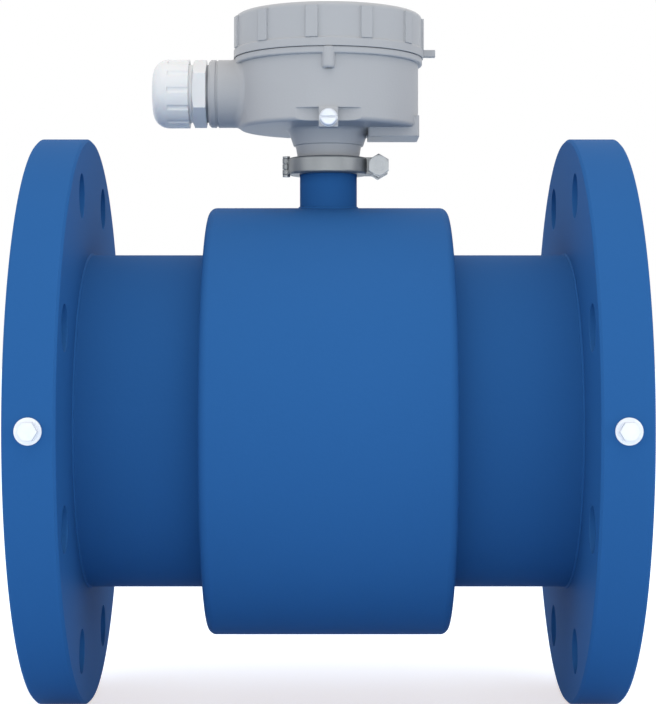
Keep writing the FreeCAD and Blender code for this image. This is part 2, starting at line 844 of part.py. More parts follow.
def make_clamp_half(label, side, knuckles):
    """Half ring with a V groove, a bolt ear at +X and its share of the hinge at -X."""
    body = new_body(label)
    gap = s.clamp_clearance
    inner = s.neck_od / 2 + gap
    stub_inner = STUB_RADIUS + gap
    deep = FERRULE_RADIUS + gap
    outer = CLAMP_RADIUS
    low_rim = NECK_TOP - s.ferrule_rim - gap
    high_rim = STUB_BOTTOM + s.ferrule_rim + gap
    half_ring = revolve(body, "Z", [
        (inner, CLAMP_BOTTOM), (outer, CLAMP_BOTTOM, s.clamp_edge), (outer, CLAMP_TOP, s.clamp_edge),
        (stub_inner, CLAMP_TOP), (stub_inner, high_rim + s.ferrule_taper), (deep, high_rim),
        (deep, low_rim),
        (inner, low_rim - s.ferrule_taper),
    ], half=True)
    half_ring.Reversed = side < 0
    ear = new_sketch(body, "XY", CLAMP_BOTTOM)
    near, far = (s.clamp_split / 2) * side, s.ear_depth * side
    low, high = (near, far) if side > 0 else (far, near)
    rectangle(ear, outer - s.ear_root, outer + s.ear_length, low, high)
    pad(body, ear, s.clamp_width)
    end, low_face, high_face = (outer + s.ear_length).value, CLAMP_BOTTOM.value, CLAMP_TOP.value

    def on_ear_end(point):
        on_face = min(abs(point.z - low_face), abs(point.z - high_face)) < NEAR
        return on_face and abs(point.x - end) < NEAR

    dress_edges(body, "Fillet", on_ear_end, "Radius", s.ear_edge)
    split = new_sketch(body, "XY", CLAMP_BOTTOM)
    rectangle(split, -outer * 2, outer * 2, -s.clamp_split / 2, s.clamp_split / 2)
    pocket(body, split, s.clamp_width, reverse=True)
    share = s.clamp_width / 3
    for level in range(3):
        bottom = CLAMP_BOTTOM + share * level
        if level in knuckles:
            start = bottom + s.knuckle_gap
            knuckle = cylinder_sketch(body, start, s.hinge_knuckle, -HINGE_OFFSET)
            pad(body, knuckle, share - s.knuckle_gap * 2)
        else:
            relief = cylinder_sketch(body, bottom, s.hinge_knuckle + gap * 2, -HINGE_OFFSET)
            pocket(body, relief, share, reverse=True)
    pin_hole = cylinder_sketch(body, CLAMP_BOTTOM, s.hinge_pin + s.fit_gap * 2, -HINGE_OFFSET)
    pocket(body, pin_hole, s.clamp_width, reverse=True)
    bolt_hole = new_sketch(body, "XZ")
    ring(bolt_hole, s.clamp_bolt + s.fit_gap * 4, CLAMP_BOLT_OFFSET, CLAMP_MIDDLE)
    pocket(body, bolt_hole, reverse=side < 0)


def make_clamp_hinge_pin():
    """Riveted pin: a shank through the knuckles with a head pressed on each end."""
    body = new_body("clamp_hinge_pin")
    shank = s.hinge_pin / 2
    head = s.hinge_pin_head / 2
    rise = s.hinge_pin_head_height
    revolve(body, "Z", [
        (ZERO, CLAMP_BOTTOM - rise), (head, CLAMP_BOTTOM - rise), (head, CLAMP_BOTTOM),
        (shank, CLAMP_BOTTOM), (shank, CLAMP_TOP), (head, CLAMP_TOP),
        (head, CLAMP_TOP + rise), (ZERO, CLAMP_TOP + rise),
    ])
    place(body, x=-HINGE_OFFSET)


def hex_head(body, flats, height, lift=ZERO, first_corner=0):
    """A hexagonal head along +Z, its outer corners turned off at 30 degrees."""
    sketch = new_sketch(body, "XY", lift)
    hexagon(sketch, flats, first_corner)
    pad(body, sketch, height)
    top = lift + height
    corner = flats / 2 * HEX_CORNER
    drop = (corner - flats / 2) * math.tan(math.radians(30))
    flat = flats / 2 * HEX_TURNED
    groove(body, "Z", [
        (flat, top + OVERCUT), (flat, top), (corner + OVERCUT, top - drop),
        (corner + OVERCUT, top + OVERCUT),
    ])


def make_clamp_bolt():
    """Hexagon bolt through both ears, along its own +Z from the rear nut to the head."""
    body = new_body("clamp_bolt")
    length = s.ear_depth * 2 + s.clamp_nut_thickness + s.clamp_bolt_overhang
    shank = new_sketch(body, "XY", -length)
    ring(shank, s.clamp_bolt)
    pad(body, shank, length)
    hex_head(body, s.clamp_bolt_flats, s.clamp_bolt_head, first_corner=90)
    place(body, CLAMP_BOLT_OFFSET, -s.ear_depth, CLAMP_MIDDLE, FACING_FRONT)


def make_clamp_nut():
    body = new_body("clamp_nut")
    hex_head(body, s.clamp_bolt_flats, s.clamp_nut_thickness, first_corner=90)
    hole = new_sketch(body, "XY")
    ring(hole, s.clamp_bolt + s.fit_gap * 2)
    pocket(body, hole, reverse=True)
    place(body, CLAMP_BOLT_OFFSET, s.ear_depth, CLAMP_MIDDLE, FACING_BACK)


# ---------------------------------------------------------------------------------------------
# Junction box casting
# ---------------------------------------------------------------------------------------------


def box_envelope(body):
    """Stub with its ferrule, flared into the floor, and the plain wall up to the spigot's top."""
    rim = STUB_BOTTOM + s.ferrule_rim
    collar = STUB_RADIUS + s.stub_collar
    step = STUB_BOTTOM + s.stub_collar_rise
    revolve(body, "Z", [
        (ZERO, STUB_BOTTOM), (FERRULE_RADIUS, STUB_BOTTOM), (FERRULE_RADIUS, rim),
        (STUB_RADIUS, rim + s.ferrule_taper), (STUB_RADIUS, CLAMP_TOP + s.stub_step),
        (collar - s.stub_step, step), (collar, step),
        (collar + s.stub_root_spread, BOX_BASE, s.stub_root_radius),
        (BOX_RADIUS, BOX_BASE, s.box_base_radius),
        (BOX_RADIUS, RIM_TOP + s.spigot_height), (ZERO, RIM_TOP + s.spigot_height),
    ])


def box_entry(body):
    """Round conduit entry at -X, blended into the wall."""
    boss = new_sketch(body, "YZ", -ENTRY_REACH)
    ring(boss, s.entry_od, ZERO, ENTRY_HEIGHT)
    pad(body, boss, ENTRY_REACH - CAVITY_RADIUS)
    reach, radius, height = ENTRY_REACH.value, s.entry_od.value / 2, ENTRY_HEIGHT.value

    def on_boss(point):
        return abs(math.hypot(point.y, point.z - height) - radius) < NEAR

    mouth, wall = -reach + s.entry_groove_offset.value, -CAVITY_RADIUS.value + NEAR
    dress_edges(body, "Chamfer", lambda p: on_boss(p) and abs(p.x + reach) < NEAR,
                "Size", s.entry_chamfer)
    dress_edges(body, "Fillet", lambda p: on_boss(p) and mouth < p.x < wall,
                "Radius", s.entry_root_radius)
    band = new_sketch(body, "YZ", -ENTRY_REACH + s.entry_groove_offset)
    ring(band, s.entry_od + OVERCUT * 2, ZERO, ENTRY_HEIGHT)
    ring(band, s.entry_od - s.entry_groove_depth * 2, ZERO, ENTRY_HEIGHT)
    pocket(body, band, s.entry_groove_width, reverse=True)


def box_rim(body):
    """Turn the spigot down above the rim, then add the rim and cut the sealing groove."""
    top = RIM_TOP + s.spigot_height
    clear = ENTRY_REACH * 2
    groove(body, "Z", [
        (SPIGOT_RADIUS, RIM_TOP), (clear, RIM_TOP), (clear, top + OVERCUT),
        (SPIGOT_RADIUS, top + OVERCUT),
    ])
    rim = BOX_RADIUS + s.rim_overhang
    revolve(body, "Z", [
        (SPIGOT_RADIUS, RIM_TOP - s.rim_height), (rim, RIM_TOP - s.rim_height, s.rim_edge),
        (rim, RIM_TOP), (SPIGOT_RADIUS, RIM_TOP),
    ])
    low = RIM_TOP + s.seal_groove_rise
    high = low + s.seal_groove_width
    bottom = SPIGOT_RADIUS - s.seal_groove_depth
    groove(body, "Z", [
        (bottom, low), (SPIGOT_RADIUS + OVERCUT, low), (SPIGOT_RADIUS + OVERCUT, high),
        (bottom, high),
    ])


def box_pads(body):
    """Front facet with the ground boss, the lock boss above it, and the square pad at +X."""
    facet = new_sketch(body, "XZ", BOX_RADIUS - s.facet_depth)
    rectangle(facet, -BOX_RADIUS, BOX_RADIUS, BOX_BASE - OVERCUT, BOX_BASE + s.facet_height)
    pocket(body, facet, s.facet_depth + OVERCUT, reverse=True)
    boss = new_sketch(body, "XZ", CAVITY_RADIUS)
    half = s.ground_boss_width / 2
    rectangle(boss, -half, half, BOX_BASE - s.ground_boss_drop, BOX_BASE + s.ground_boss_top)
    pad(body, boss, GROUND_BOSS_REACH - CAVITY_RADIUS)
    lock = new_sketch(body, "XY", RIM_TOP - s.lock_boss_height)
    ring(lock, s.lock_boss_od, ZERO, -BOX_RADIUS)
    pad(body, lock, s.lock_boss_height)
    side = new_sketch(body, "XY", BOX_BASE - s.side_pad_drop)
    near, half = BOX_RADIUS - s.side_pad_length, s.side_pad_width / 2
    outline(side, [
        (near, -half, s.side_pad_edge), (BOX_RADIUS, -half, s.side_pad_edge),
        (BOX_RADIUS, half, s.side_pad_edge), (near, half, s.side_pad_edge),
    ])
    pad(body, side, s.side_pad_drop + s.side_pad_top)


def box_cavity(body):
    """Hollow out the terminal space and the lead passage through the stub."""
    top = RIM_TOP + s.spigot_height
    passage = NECK_BORE / 2
    groove(body, "Z", [
        (ZERO, STUB_BOTTOM - OVERCUT), (passage, STUB_BOTTOM - OVERCUT), (passage, BOX_FLOOR),
        (CAVITY_RADIUS, BOX_FLOOR, s.box_base_radius), (CAVITY_RADIUS, top + OVERCUT),
        (ZERO, top + OVERCUT),
    ])
    bore = new_sketch(body, "YZ", -ENTRY_REACH)
    ring(bore, s.entry_thread + s.fit_gap * 2, ZERO, ENTRY_HEIGHT)
    pocket(body, bore, ENTRY_REACH - CAVITY_RADIUS / 2, reverse=True)


def box_bosses(body):
    """Standoffs under the terminal block and the boss for the inner ground screw."""
    posts = new_sketch(body, "XY", BOX_FLOOR - OVERCUT)
    for side in (-1, 1):
        ring(posts, s.standoff_od, s.fixing_spacing / 2 * side, FIXING_OFFSET)
    pad(body, posts, s.standoff_height + OVERCUT)
    inner = new_sketch(body, "XY", BOX_FLOOR - OVERCUT)
    ring(inner, s.inner_boss_od, ZERO, -INNER_BOSS_OFFSET)
    pad(body, inner, s.inner_boss_height + OVERCUT)


def box_holes(body):
    """Tapped holes for the fixing, ground and lock screws."""
    fixing = new_sketch(body, "XY", BLOCK_BASE - s.fixing_depth)
    for side in (-1, 1):
        ring(fixing, s.fixing_screw + s.fit_gap * 2, s.fixing_spacing / 2 * side, FIXING_OFFSET)
    pocket(body, fixing, s.fixing_depth + OVERCUT, reverse=True)
    boss_top = BOX_FLOOR + s.inner_boss_height
    inner = new_sketch(body, "XY", boss_top - s.case_screw_depth)
    ring(inner, s.case_screw + s.fit_gap * 2, ZERO, -INNER_BOSS_OFFSET)
    pocket(body, inner, s.case_screw_depth + OVERCUT, reverse=True)
    ground = new_sketch(body, "XZ", GROUND_BOSS_REACH - s.case_screw_depth)
    ring(ground, s.case_screw + s.fit_gap * 2, ZERO, BOX_BASE + s.case_screw_rise)
    pocket(body, ground, s.case_screw_depth + OVERCUT, reverse=True)
    lock = new_sketch(body, "XY", RIM_TOP - s.lock_boss_height)
    ring(lock, s.lock_hole, ZERO, -BOX_RADIUS)
    pocket(body, lock, s.lock_boss_height, reverse=True)


def box_lock_boss_end(body):
    """Round the lower end of the lock boss, outside its hole."""
    end, middle = (RIM_TOP - s.lock_boss_height).value, BOX_RADIUS.value
    hole = s.lock_hole / 2
    edge = smaller(s.lock_boss_edge, (s.lock_boss_od / 2 - hole) * EDGE_OF_WALL)

    def on_end(point):
        outside = math.hypot(point.x, point.y + middle) > hole.value + NEAR
        return outside and abs(point.z - end) < NEAR and point.y < -middle + edge.value

    dress_edges(body, "Fillet", on_end, "Radius", edge)


def make_box_body():
    body = new_body("box_body")
    box_envelope(body)
    box_entry(body)
    box_rim(body)
    box_pads(body)
    box_cavity(body)
    box_bosses(body)
    box_holes(body)
    box_lock_boss_end(body)


# ---------------------------------------------------------------------------------------------
# Terminals and screws of the box
# ---------------------------------------------------------------------------------------------


def terminal_places():
    """X of each terminal, counted from the middle one."""
    count = round(s.terminal_count.value)
    return [s.terminal_pitch * (i - (count - 1) / 2) for i in range(count)]


def make_terminal_block():
    """Moulded block with a lower front step and a screw well over each way."""
    body = new_body("terminal_block")
    back = BLOCK_MIDDLE + s.terminal_depth / 2
    shelf = BLOCK_TOP - s.terminal_step
    front_wall = BLOCK_FRONT + s.terminal_step
    profile = new_sketch(body, "YZ")
    outline(profile, [
        (BLOCK_FRONT, BLOCK_BASE), (back, BLOCK_BASE), (back, BLOCK_TOP),
        (front_wall, BLOCK_TOP), (front_wall, shelf), (BLOCK_FRONT, shelf),
    ])
    pad(body, profile, s.terminal_length, both=True)
    wells = new_sketch(body, "XY", BLOCK_TOP - s.terminal_well_depth)
    for x in terminal_places():
        ring(wells, s.terminal_well, x, WELL_OFFSET)
    pocket(body, wells, s.terminal_well_depth + OVERCUT, reverse=True)
    fixing = new_sketch(body, "XY", BLOCK_BASE)
    for side in (-1, 1):
        ring(fixing, s.fixing_screw + s.fit_gap * 2, s.fixing_spacing / 2 * side, FIXING_OFFSET)
    pocket(body, fixing, reverse=True)


def slotted_head(body, diameter, height):
    """A cheese head along +Z with a screwdriver slot."""
    disc = new_sketch(body, "XY")
    ring(disc, diameter)
    pad(body, disc, height)
    slot = new_sketch(body, "XY", height / 2)
    rectangle(slot, -diameter, diameter, -s.slot_width / 2, s.slot_width / 2)
    pocket(body, slot, height, reverse=True)


def make_terminal_screws():
    """Slotted clamping screws, one to each way."""
    for number, x in enumerate(terminal_places(), start=1):
        body = new_body(f"terminal_screw_{number}")
        slotted_head(body, s.terminal_screw, s.terminal_well_depth - s.fit_gap)
        place(body, x, WELL_OFFSET, BLOCK_TOP - s.terminal_well_depth)


def make_cap_screw(label, shank, depth, head_od, head):
    """Pan head screw along +Z, its head standing on the origin and its shank below."""
    body = new_body(label)
    stem = new_sketch(body, "XY", -depth)
    ring(stem, shank)
    pad(body, stem, depth)
    revolve(body, "Z", [
        (ZERO, ZERO), (head_od / 2, ZERO), (head_od / 2, head, head * DOMED_HEAD), (ZERO, head),
    ])
    slot = new_sketch(body, "XY", head / 2)
    rectangle(slot, -head_od, head_od, -s.slot_width / 2, s.slot_width / 2)
    pocket(body, slot, head, reverse=True)
    return body


def make_washer(label, hole, outside, thickness):
    body = new_body(label)
    sketch = new_sketch(body, "XY")
    ring(sketch, outside)
    ring(sketch, hole + s.fit_gap * 2)
    pad(body, sketch, thickness)
    return body


def make_fixing_screws():
    """Two screws on the block's step, into the standoffs."""
    shelf = BLOCK_TOP - s.terminal_step
    depth = shelf - BLOCK_BASE + s.fixing_depth - s.fit_gap
    for number, side in enumerate((-1, 1), start=1):
        screw = make_cap_screw(f"terminal_fixing_screw_{number}", s.fixing_screw, depth,
                               s.fixing_head_od, s.fixing_head)
        place(screw, s.fixing_spacing / 2 * side, FIXING_OFFSET, shelf)


def make_case_ground_screws():
    """Ground screws of the box: one with its washer on the front boss, one on the inner boss."""
    depth = s.case_screw_depth - s.fit_gap
    height = BOX_BASE + s.case_screw_rise
    washer = make_washer("case_ground_washer", s.case_screw, s.case_washer_od,
                         s.case_washer_thickness)
    place(washer, ZERO, -GROUND_BOSS_REACH, height, FACING_FRONT)
    outer = make_cap_screw("case_ground_screw", s.case_screw, depth, s.case_screw_head_od,
                           s.case_screw_head)
    place(outer, ZERO, -GROUND_BOSS_REACH - s.case_washer_thickness, height, FACING_FRONT)
    inner = make_cap_screw("inner_ground_screw", s.case_screw, depth, s.case_screw_head_od,
                           s.case_screw_head)
    place(inner, ZERO, -INNER_BOSS_OFFSET, BOX_FLOOR + s.inner_boss_height)


def make_cover_lock_screw():
    """Grub screw in the lock boss, its hexagon socket facing down."""
    body = new_body("cover_lock_screw")
    bottom = RIM_TOP - s.lock_boss_height + s.lock_screw_inset
    shank = new_sketch(body, "XY", bottom)
    ring(shank, s.lock_hole - s.fit_gap * 2)
    pad(body, shank, RIM_TOP - bottom)
    socket = new_sketch(body, "XY", bottom)
    hexagon(socket, s.lock_socket)
    pocket(body, socket, s.lock_socket, reverse=True)
    place(body, ZERO, -BOX_RADIUS, ZERO)


def make_flange_ground_screw(position, side):
    """Hexagon head screw on the rim of a flange with a plain washer under it."""
    rim = FLANGE_RADIUS
    washer = make_washer("ground_washer_" + position, s.ground_screw, s.ground_washer_od,
                         s.ground_washer_thickness)
    place(washer, PLATE_MIDDLE * side, -rim, ZERO, FACING_FRONT)
    body = new_body("ground_screw_" + position)
    length = s.ground_screw_depth + s.ground_washer_thickness - s.fit_gap
    shank = new_sketch(body, "XY", -length)
    ring(shank, s.ground_screw)
    pad(body, shank, length)
    hex_head(body, s.ground_screw_flats, s.ground_screw_head)
    place(body, PLATE_MIDDLE * side, -rim - s.ground_washer_thickness, ZERO, FACING_FRONT)


# ---------------------------------------------------------------------------------------------
# Cable gland, each piece turned about its own X axis and lifted to the entry
# ---------------------------------------------------------------------------------------------


def make_gland_washer():
    body = new_body("gland_washer")
    sketch = new_sketch(body, "YZ", -GLAND_SEAT)
    ring(sketch, s.gland_neck_od)
    ring(sketch, s.entry_thread + s.fit_gap * 2)
    pad(body, sketch, s.gland_washer_thickness)
    place(body, z=ENTRY_HEIGHT)


def make_gland_body():
    """Threaded stem in the entry, hexagon outside it and the seat for the rubber bush."""
    body = new_body("gland_body")
    bore = s.gland_bore / 2
    stem = s.entry_thread / 2
    neck = s.gland_neck_od / 2
    seat = BUSH_RADIUS + s.run_gap
    revolve(body, "X", [
        (-ENTRY_REACH + s.gland_stem_in, bore), (-ENTRY_REACH + s.gland_stem_in, stem),
        (-GLAND_SEAT, stem), (-GLAND_SEAT, neck), (-GLAND_END, neck), (-GLAND_END, seat),
        (-BUSH_START, seat), (-BUSH_START, bore),
    ])
    flats = new_sketch(body, "YZ", -GLAND_SHOULDER)
    hexagon(flats, s.gland_flats, first_corner=90)
    ring(flats, s.gland_neck_od - OVERCUT)
    pad(body, flats, s.gland_hex_length)
    corner = s.gland_flats / 2 * HEX_CORNER
    drop = (corner - s.gland_flats / 2) * math.tan(math.radians(30))
    groove(body, "X", [
        (-GLAND_SHOULDER - OVERCUT, s.gland_flats / 2), (-GLAND_SHOULDER, s.gland_flats / 2),
        (-GLAND_SHOULDER + drop, corner + OVERCUT), (-GLAND_SHOULDER - OVERCUT, corner + OVERCUT),
    ])
    place(body, z=ENTRY_HEIGHT)


def make_gland_bush():
    """Rubber sealing bush that closes on the cable."""
    body = new_body("gland_bush")
    revolve(body, "X", [
        (-BUSH_START - s.run_gap, s.bush_bore / 2), (-BUSH_START - s.run_gap, BUSH_RADIUS),
        (-BUSH_END, BUSH_RADIUS), (-BUSH_END, s.bush_bore / 2),
    ])
    place(body, z=ENTRY_HEIGHT)


def make_gland_nut():
    """Domed nut over the stem, fluted for grip, with the cable's mouth in its end."""
    body = new_body("gland_nut")
    start = GLAND_SHOULDER + s.nut_gap
    end = start + s.nut_length
    floor = BUSH_END + s.run_gap
    thread = s.gland_neck_od / 2 + s.run_gap
    outer = s.nut_od / 2
    mouth = s.nut_mouth / 2
    turned = revolve(body, "X", [
        (-start, thread), (-start, outer), (-end, outer, s.nut_dome), (-end, mouth),
        (-floor, mouth), (-floor, thread),
    ])
    flute = new_sketch(body, "YZ", -start)
    centre = outer + s.nut_flute_width / 2 - s.nut_flute_depth
    ring(flute, s.nut_flute_width, ZERO, centre)
    cut = pocket(body, flute, s.nut_length - s.nut_dome)
    polar(body, [cut], (turned.Profile[0], ["H_Axis"]), s.nut_flute_count)
    place(body, z=ENTRY_HEIGHT)


# ---------------------------------------------------------------------------------------------
# Cover and its sealing ring
# ---------------------------------------------------------------------------------------------


def make_cover_seal():
    """Rubber ring in the groove of the spigot."""
    body = new_body("cover_seal")
    low = RIM_TOP + s.seal_groove_rise + s.seal_groove_width / 2
    sketch = new_sketch(body, "XZ")
    ring(sketch, s.seal_section, (SEAL_INNER + SEAL_OUTER) / 2, low)
    feature = add_feature(body, "Revolution", sketch)
    feature.ReferenceAxis = (sketch, ["V_Axis"])
    feature.Angle = 360


def turned_rectangle(sketch, near, far, width, angle):
    """A rectangle from one radius to another, at an angle from -Y towards +X."""
    c, n = cosine(angle), sine(angle)
    corners = [(near, -width / 2), (far, -width / 2), (far, width / 2), (near, width / 2)]
    outline(sketch, [(u * n + v * c, v * n - u * c) for u, v in corners])


def make_box_cover():
    """Screwed cap: plain skirt, ribbed wall, rounded top and a lug for a sealing wire."""
    body = new_body("box_cover")
    wall = COVER_RADIUS
    skirt = wall + s.cover_skirt_step
    reach = wall + s.lug_length
    shoulder = COVER_BOTTOM + s.cover_skirt_height
    top = COVER_BOTTOM + s.cover_height
    turned = revolve(body, "Z", [
        (ZERO, COVER_BOTTOM), (skirt, COVER_BOTTOM), (skirt, shoulder, s.cover_skirt_edge),
        (wall, shoulder),
        (wall, top, s.cover_edge), (ZERO, top),
    ])
    rib = new_sketch(body, "XY", shoulder)
    turned_rectangle(rib, wall - s.cover_edge, wall + s.rib_depth, s.rib_width, s.rib_phase)
    raised = pad(body, rib, s.cover_height - s.cover_skirt_height - s.rib_top_margin)
    polar(body, [raised], (turned.Profile[0], ["V_Axis"]), s.rib_count)
    lug = new_sketch(body, "XY", COVER_BOTTOM + s.lug_rise)
    rectangle(lug, wall - s.cover_edge, reach, -s.lug_width / 2, s.lug_width / 2)
    ring(lug, s.lug_hole, reach - s.lug_width / 2)
    pad(body, lug, s.lug_height)
    seal_bore = SEAL_OUTER + s.run_gap
    seal_top = RIM_TOP + s.seal_groove_rise + s.seal_groove_width + s.run_gap
    thread = SPIGOT_RADIUS + s.run_gap
    ceiling = top - s.cover_top
    groove(body, "Z", [
        (ZERO, COVER_BOTTOM - OVERCUT), (seal_bore, COVER_BOTTOM - OVERCUT), (seal_bore, seal_top),
        (thread, seal_top), (thread, ceiling), (ZERO, ceiling),
    ])


# ---------------------------------------------------------------------------------------------
# Build every piece
# ---------------------------------------------------------------------------------------------


def make_all():
    make_measuring_tube()
    make_liner()
    make_liner_lip("inlet", -1)
    make_liner_lip("outlet", 1)
    make_flange("inlet_flange", -1)
    make_flange("outlet_flange", 1)
    make_housing_shell()
    make_housing_end("housing_end_inlet", -1)
    make_housing_end("housing_end_outlet", 1)
    make_magnet("upper", 1)
    make_magnet("lower", -1)
    make_yoke_ring()
    for position, facing in (("front", FACING_FRONT), ("back", FACING_BACK)):
        make_electrode(position, facing)
        make_electrode_sleeve(position, facing)
        make_electrode_nut(position, facing)
    make_neck_tube()
    make_neck_gasket()
    make_neck_grommet()
    make_sensor_lead()
    make_clamp_half("clamp_front_half", -1, (0, 2))
    make_clamp_half("clamp_rear_half", 1, (1,))
    make_clamp_hinge_pin()
    make_clamp_bolt()
    make_clamp_nut()
    make_flange_ground_screw("inlet", -1)
    make_flange_ground_screw("outlet", 1)
    make_box_body()
    make_terminal_block()
    make_terminal_screws()
    make_fixing_screws()
    make_case_ground_screws()
    make_cover_lock_screw()
    make_gland_washer()
    make_gland_body()
    make_gland_bush()
    make_gland_nut()
    make_cover_seal()
    make_box_cover()


make_all()
doc.recompute()
for item in doc.Objects:
    if "Invalid" in item.State or "Error" in item.State:
        raise RuntimeError(f"{item.Label} did not build: {item.State}")
os.makedirs("parts", exist_ok=True)
for piece in pieces:
    shape = piece.Shape
    if shape.isNull() or not shape.isValid():
        raise RuntimeError(f"{piece.Label} has no valid shape")
    shape.exportStep(f"parts/{piece.Label}.step")
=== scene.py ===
import math

import bpy
from mathutils import Matrix, Vector


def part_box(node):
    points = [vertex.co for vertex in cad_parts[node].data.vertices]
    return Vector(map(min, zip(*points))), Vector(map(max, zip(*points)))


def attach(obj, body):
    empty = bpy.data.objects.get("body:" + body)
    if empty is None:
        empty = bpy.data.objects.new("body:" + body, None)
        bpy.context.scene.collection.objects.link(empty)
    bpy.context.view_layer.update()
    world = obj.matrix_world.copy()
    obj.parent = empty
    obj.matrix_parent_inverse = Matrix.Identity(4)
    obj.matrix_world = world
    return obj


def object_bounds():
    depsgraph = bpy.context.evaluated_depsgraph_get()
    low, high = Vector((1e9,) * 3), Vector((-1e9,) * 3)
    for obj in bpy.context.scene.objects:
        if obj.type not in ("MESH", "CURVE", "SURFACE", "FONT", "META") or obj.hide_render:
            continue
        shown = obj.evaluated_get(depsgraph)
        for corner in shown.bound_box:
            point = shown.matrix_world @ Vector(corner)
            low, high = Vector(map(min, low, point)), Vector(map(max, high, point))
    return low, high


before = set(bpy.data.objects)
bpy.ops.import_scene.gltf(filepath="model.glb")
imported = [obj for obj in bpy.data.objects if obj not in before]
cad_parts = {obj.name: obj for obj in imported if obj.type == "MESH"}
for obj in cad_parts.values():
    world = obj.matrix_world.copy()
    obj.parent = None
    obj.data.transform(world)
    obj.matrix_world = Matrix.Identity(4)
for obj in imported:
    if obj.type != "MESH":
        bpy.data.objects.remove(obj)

cad_box = [list(corner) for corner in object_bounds()]
scene = bpy.context.scene

# --------------------------------------------------------------------------------------------
# Studio
# The meter stands on a sheet of pale blue card in an even white room, with a wide soft lamp above
# it, one at each side, one low in front and one behind. The camera is square to its long side.
# --------------------------------------------------------------------------------------------

FLOOR_WIDTH = 40.0
CARD_BLUE = (0.58, 0.72, 0.86, 1)
CARD_LIFT = (1.0, 0.90, 0.82, 1)    # takes the card's tint out of what the eye sees of it
FLOOR_LIFT = 0.65      # light that the card sends to the eye on top of what falls on it
ROOM_LIGHT = 0.95
WHITE = (1.0, 1.0, 1.0, 1.0)


def add_node(tree, kind, **settings):
    """A node of the given kind; settings name its properties, or its inputs when they exist."""
    node = tree.nodes.new(kind)
    for name, value in settings.items():
        if name in node.bl_rna.properties:
            setattr(node, name, value)
        else:
            node.inputs[name.replace("_", " ")].default_value = value
    return node


def seen_directly(tree):
    """1 for rays from the camera and for mirror and glass rays, 0 for light on the object."""
    path = add_node(tree, "ShaderNodeLightPath")
    total = path.outputs["Is Camera Ray"]
    for name in ("Is Glossy Ray", "Is Transmission Ray"):
        both = add_node(tree, "ShaderNodeMath", operation="MAXIMUM")
        tree.links.new(total, both.inputs[0])
        tree.links.new(path.outputs[name], both.inputs[1])
        total = both.outputs[0]
    return total


camera_data = bpy.data.cameras.new("camera")
camera_data.lens = 103.0
camera_data.sensor_width = 36.0
camera_data.clip_start = 0.01
camera_data.clip_end = 100.0
camera = bpy.data.objects.new("camera", camera_data)
camera.location = (-0.0002, -1.0269, 0.0349)
camera.rotation_euler = (math.radians(90), 0, 0)
scene.collection.objects.link(camera)
scene.camera = camera
scene.view_settings.view_transform = "Standard"

world = bpy.data.worlds.new("room")
scene.world = world
world.use_nodes = True
world.node_tree.nodes.clear()
room = add_node(world.node_tree, "ShaderNodeBackground", Color=WHITE)
strength = add_node(world.node_tree, "ShaderNodeMapRange", To_Min=ROOM_LIGHT, To_Max=1.0)
world.node_tree.links.new(seen_directly(world.node_tree), strength.inputs["Value"])
world.node_tree.links.new(strength.outputs["Result"], room.inputs["Strength"])
world_out = add_node(world.node_tree, "ShaderNodeOutputWorld")
world.node_tree.links.new(room.outputs[0], world_out.inputs["Surface"])

card = bpy.data.materials.new("pale_card")
card.use_nodes = True
tree = card.node_tree
tree.nodes.clear()
matt = add_node(tree, "ShaderNodeBsdfDiffuse", Color=CARD_BLUE)
lift = add_node(tree, "ShaderNodeEmission", Color=CARD_LIFT)
share = add_node(tree, "ShaderNodeMath", operation="MULTIPLY")
share.inputs[1].default_value = FLOOR_LIFT
tree.links.new(seen_directly(tree), share.inputs[0])
tree.links.new(share.outputs[0], lift.inputs["Strength"])
both = add_node(tree, "ShaderNodeAddShader")
tree.links.new(matt.outputs[0], both.inputs[0])
tree.links.new(lift.outputs[0], both.inputs[1])
card_out = add_node(tree, "ShaderNodeOutputMaterial")
tree.links.new(both.outputs[0], card_out.inputs["Surface"])

half = FLOOR_WIDTH / 2
level = cad_box[0][2]
floor_mesh = bpy.data.meshes.new("floor")
floor_mesh.from_pydata(
    [(-half, -half, level), (half, -half, level), (half, half, level), (-half, half, level)],
    [], [(0, 1, 2, 3)])
floor_mesh.materials.append(card)
floor = bpy.data.objects.new("floor", floor_mesh)
scene.collection.objects.link(floor)

for name, place, width, height, watts in (
        ("lamp_above", (0.0, -0.6, 1.9), 1.8, 1.8, 7.0),
        ("lamp_left", (-1.9, -0.9, 0.15), 1.2, 1.2, 6.0),
        ("lamp_right", (1.9, -0.9, 0.15), 1.2, 1.2, 7.0),
        ("lamp_low", (0.0, -1.8, 0.1), 2.6, 0.44, 5.5),
        ("lamp_behind", (0.4, 1.7, 1.2), 1.6, 1.6, 3.0)):
    lamp = bpy.data.lights.new(name, "AREA")
    lamp.shape = "ELLIPSE"
    lamp.size = width
    lamp.size_y = height
    lamp.energy = watts
    holder = bpy.data.objects.new(name, lamp)
    holder.location = place
    holder.rotation_euler = (-Vector(place)).to_track_quat("-Z", "Y").to_euler()
    scene.collection.objects.link(holder)

# --------------------------------------------------------------------------------------------
# Measuring tube and flanges
# Seamless steel tube pushed through two turned plate flanges and welded to them all round. The
# whole sensor is later blasted and sprayed with satin blue enamel, thin on the turned edges,
# where the tube and flanges carry a lighter blue painted on as an edge highlight.
# --------------------------------------------------------------------------------------------

WELD_RADIUS = 0.0009
WELD_SIDES = 8
WELD_RIPPLE = 0.0020
WELD_RIPPLE_DEPTH = 0.10
POINTS_PER_RIPPLE = 4.0
POINTS_PER_METRE = 900
BEVEL_RAYS = 6
DUST_COLOUR = (0.55, 0.54, 0.51)

tube_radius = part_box("measuring_tube")[1][2]
flange_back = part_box("outlet_flange")[0][0]


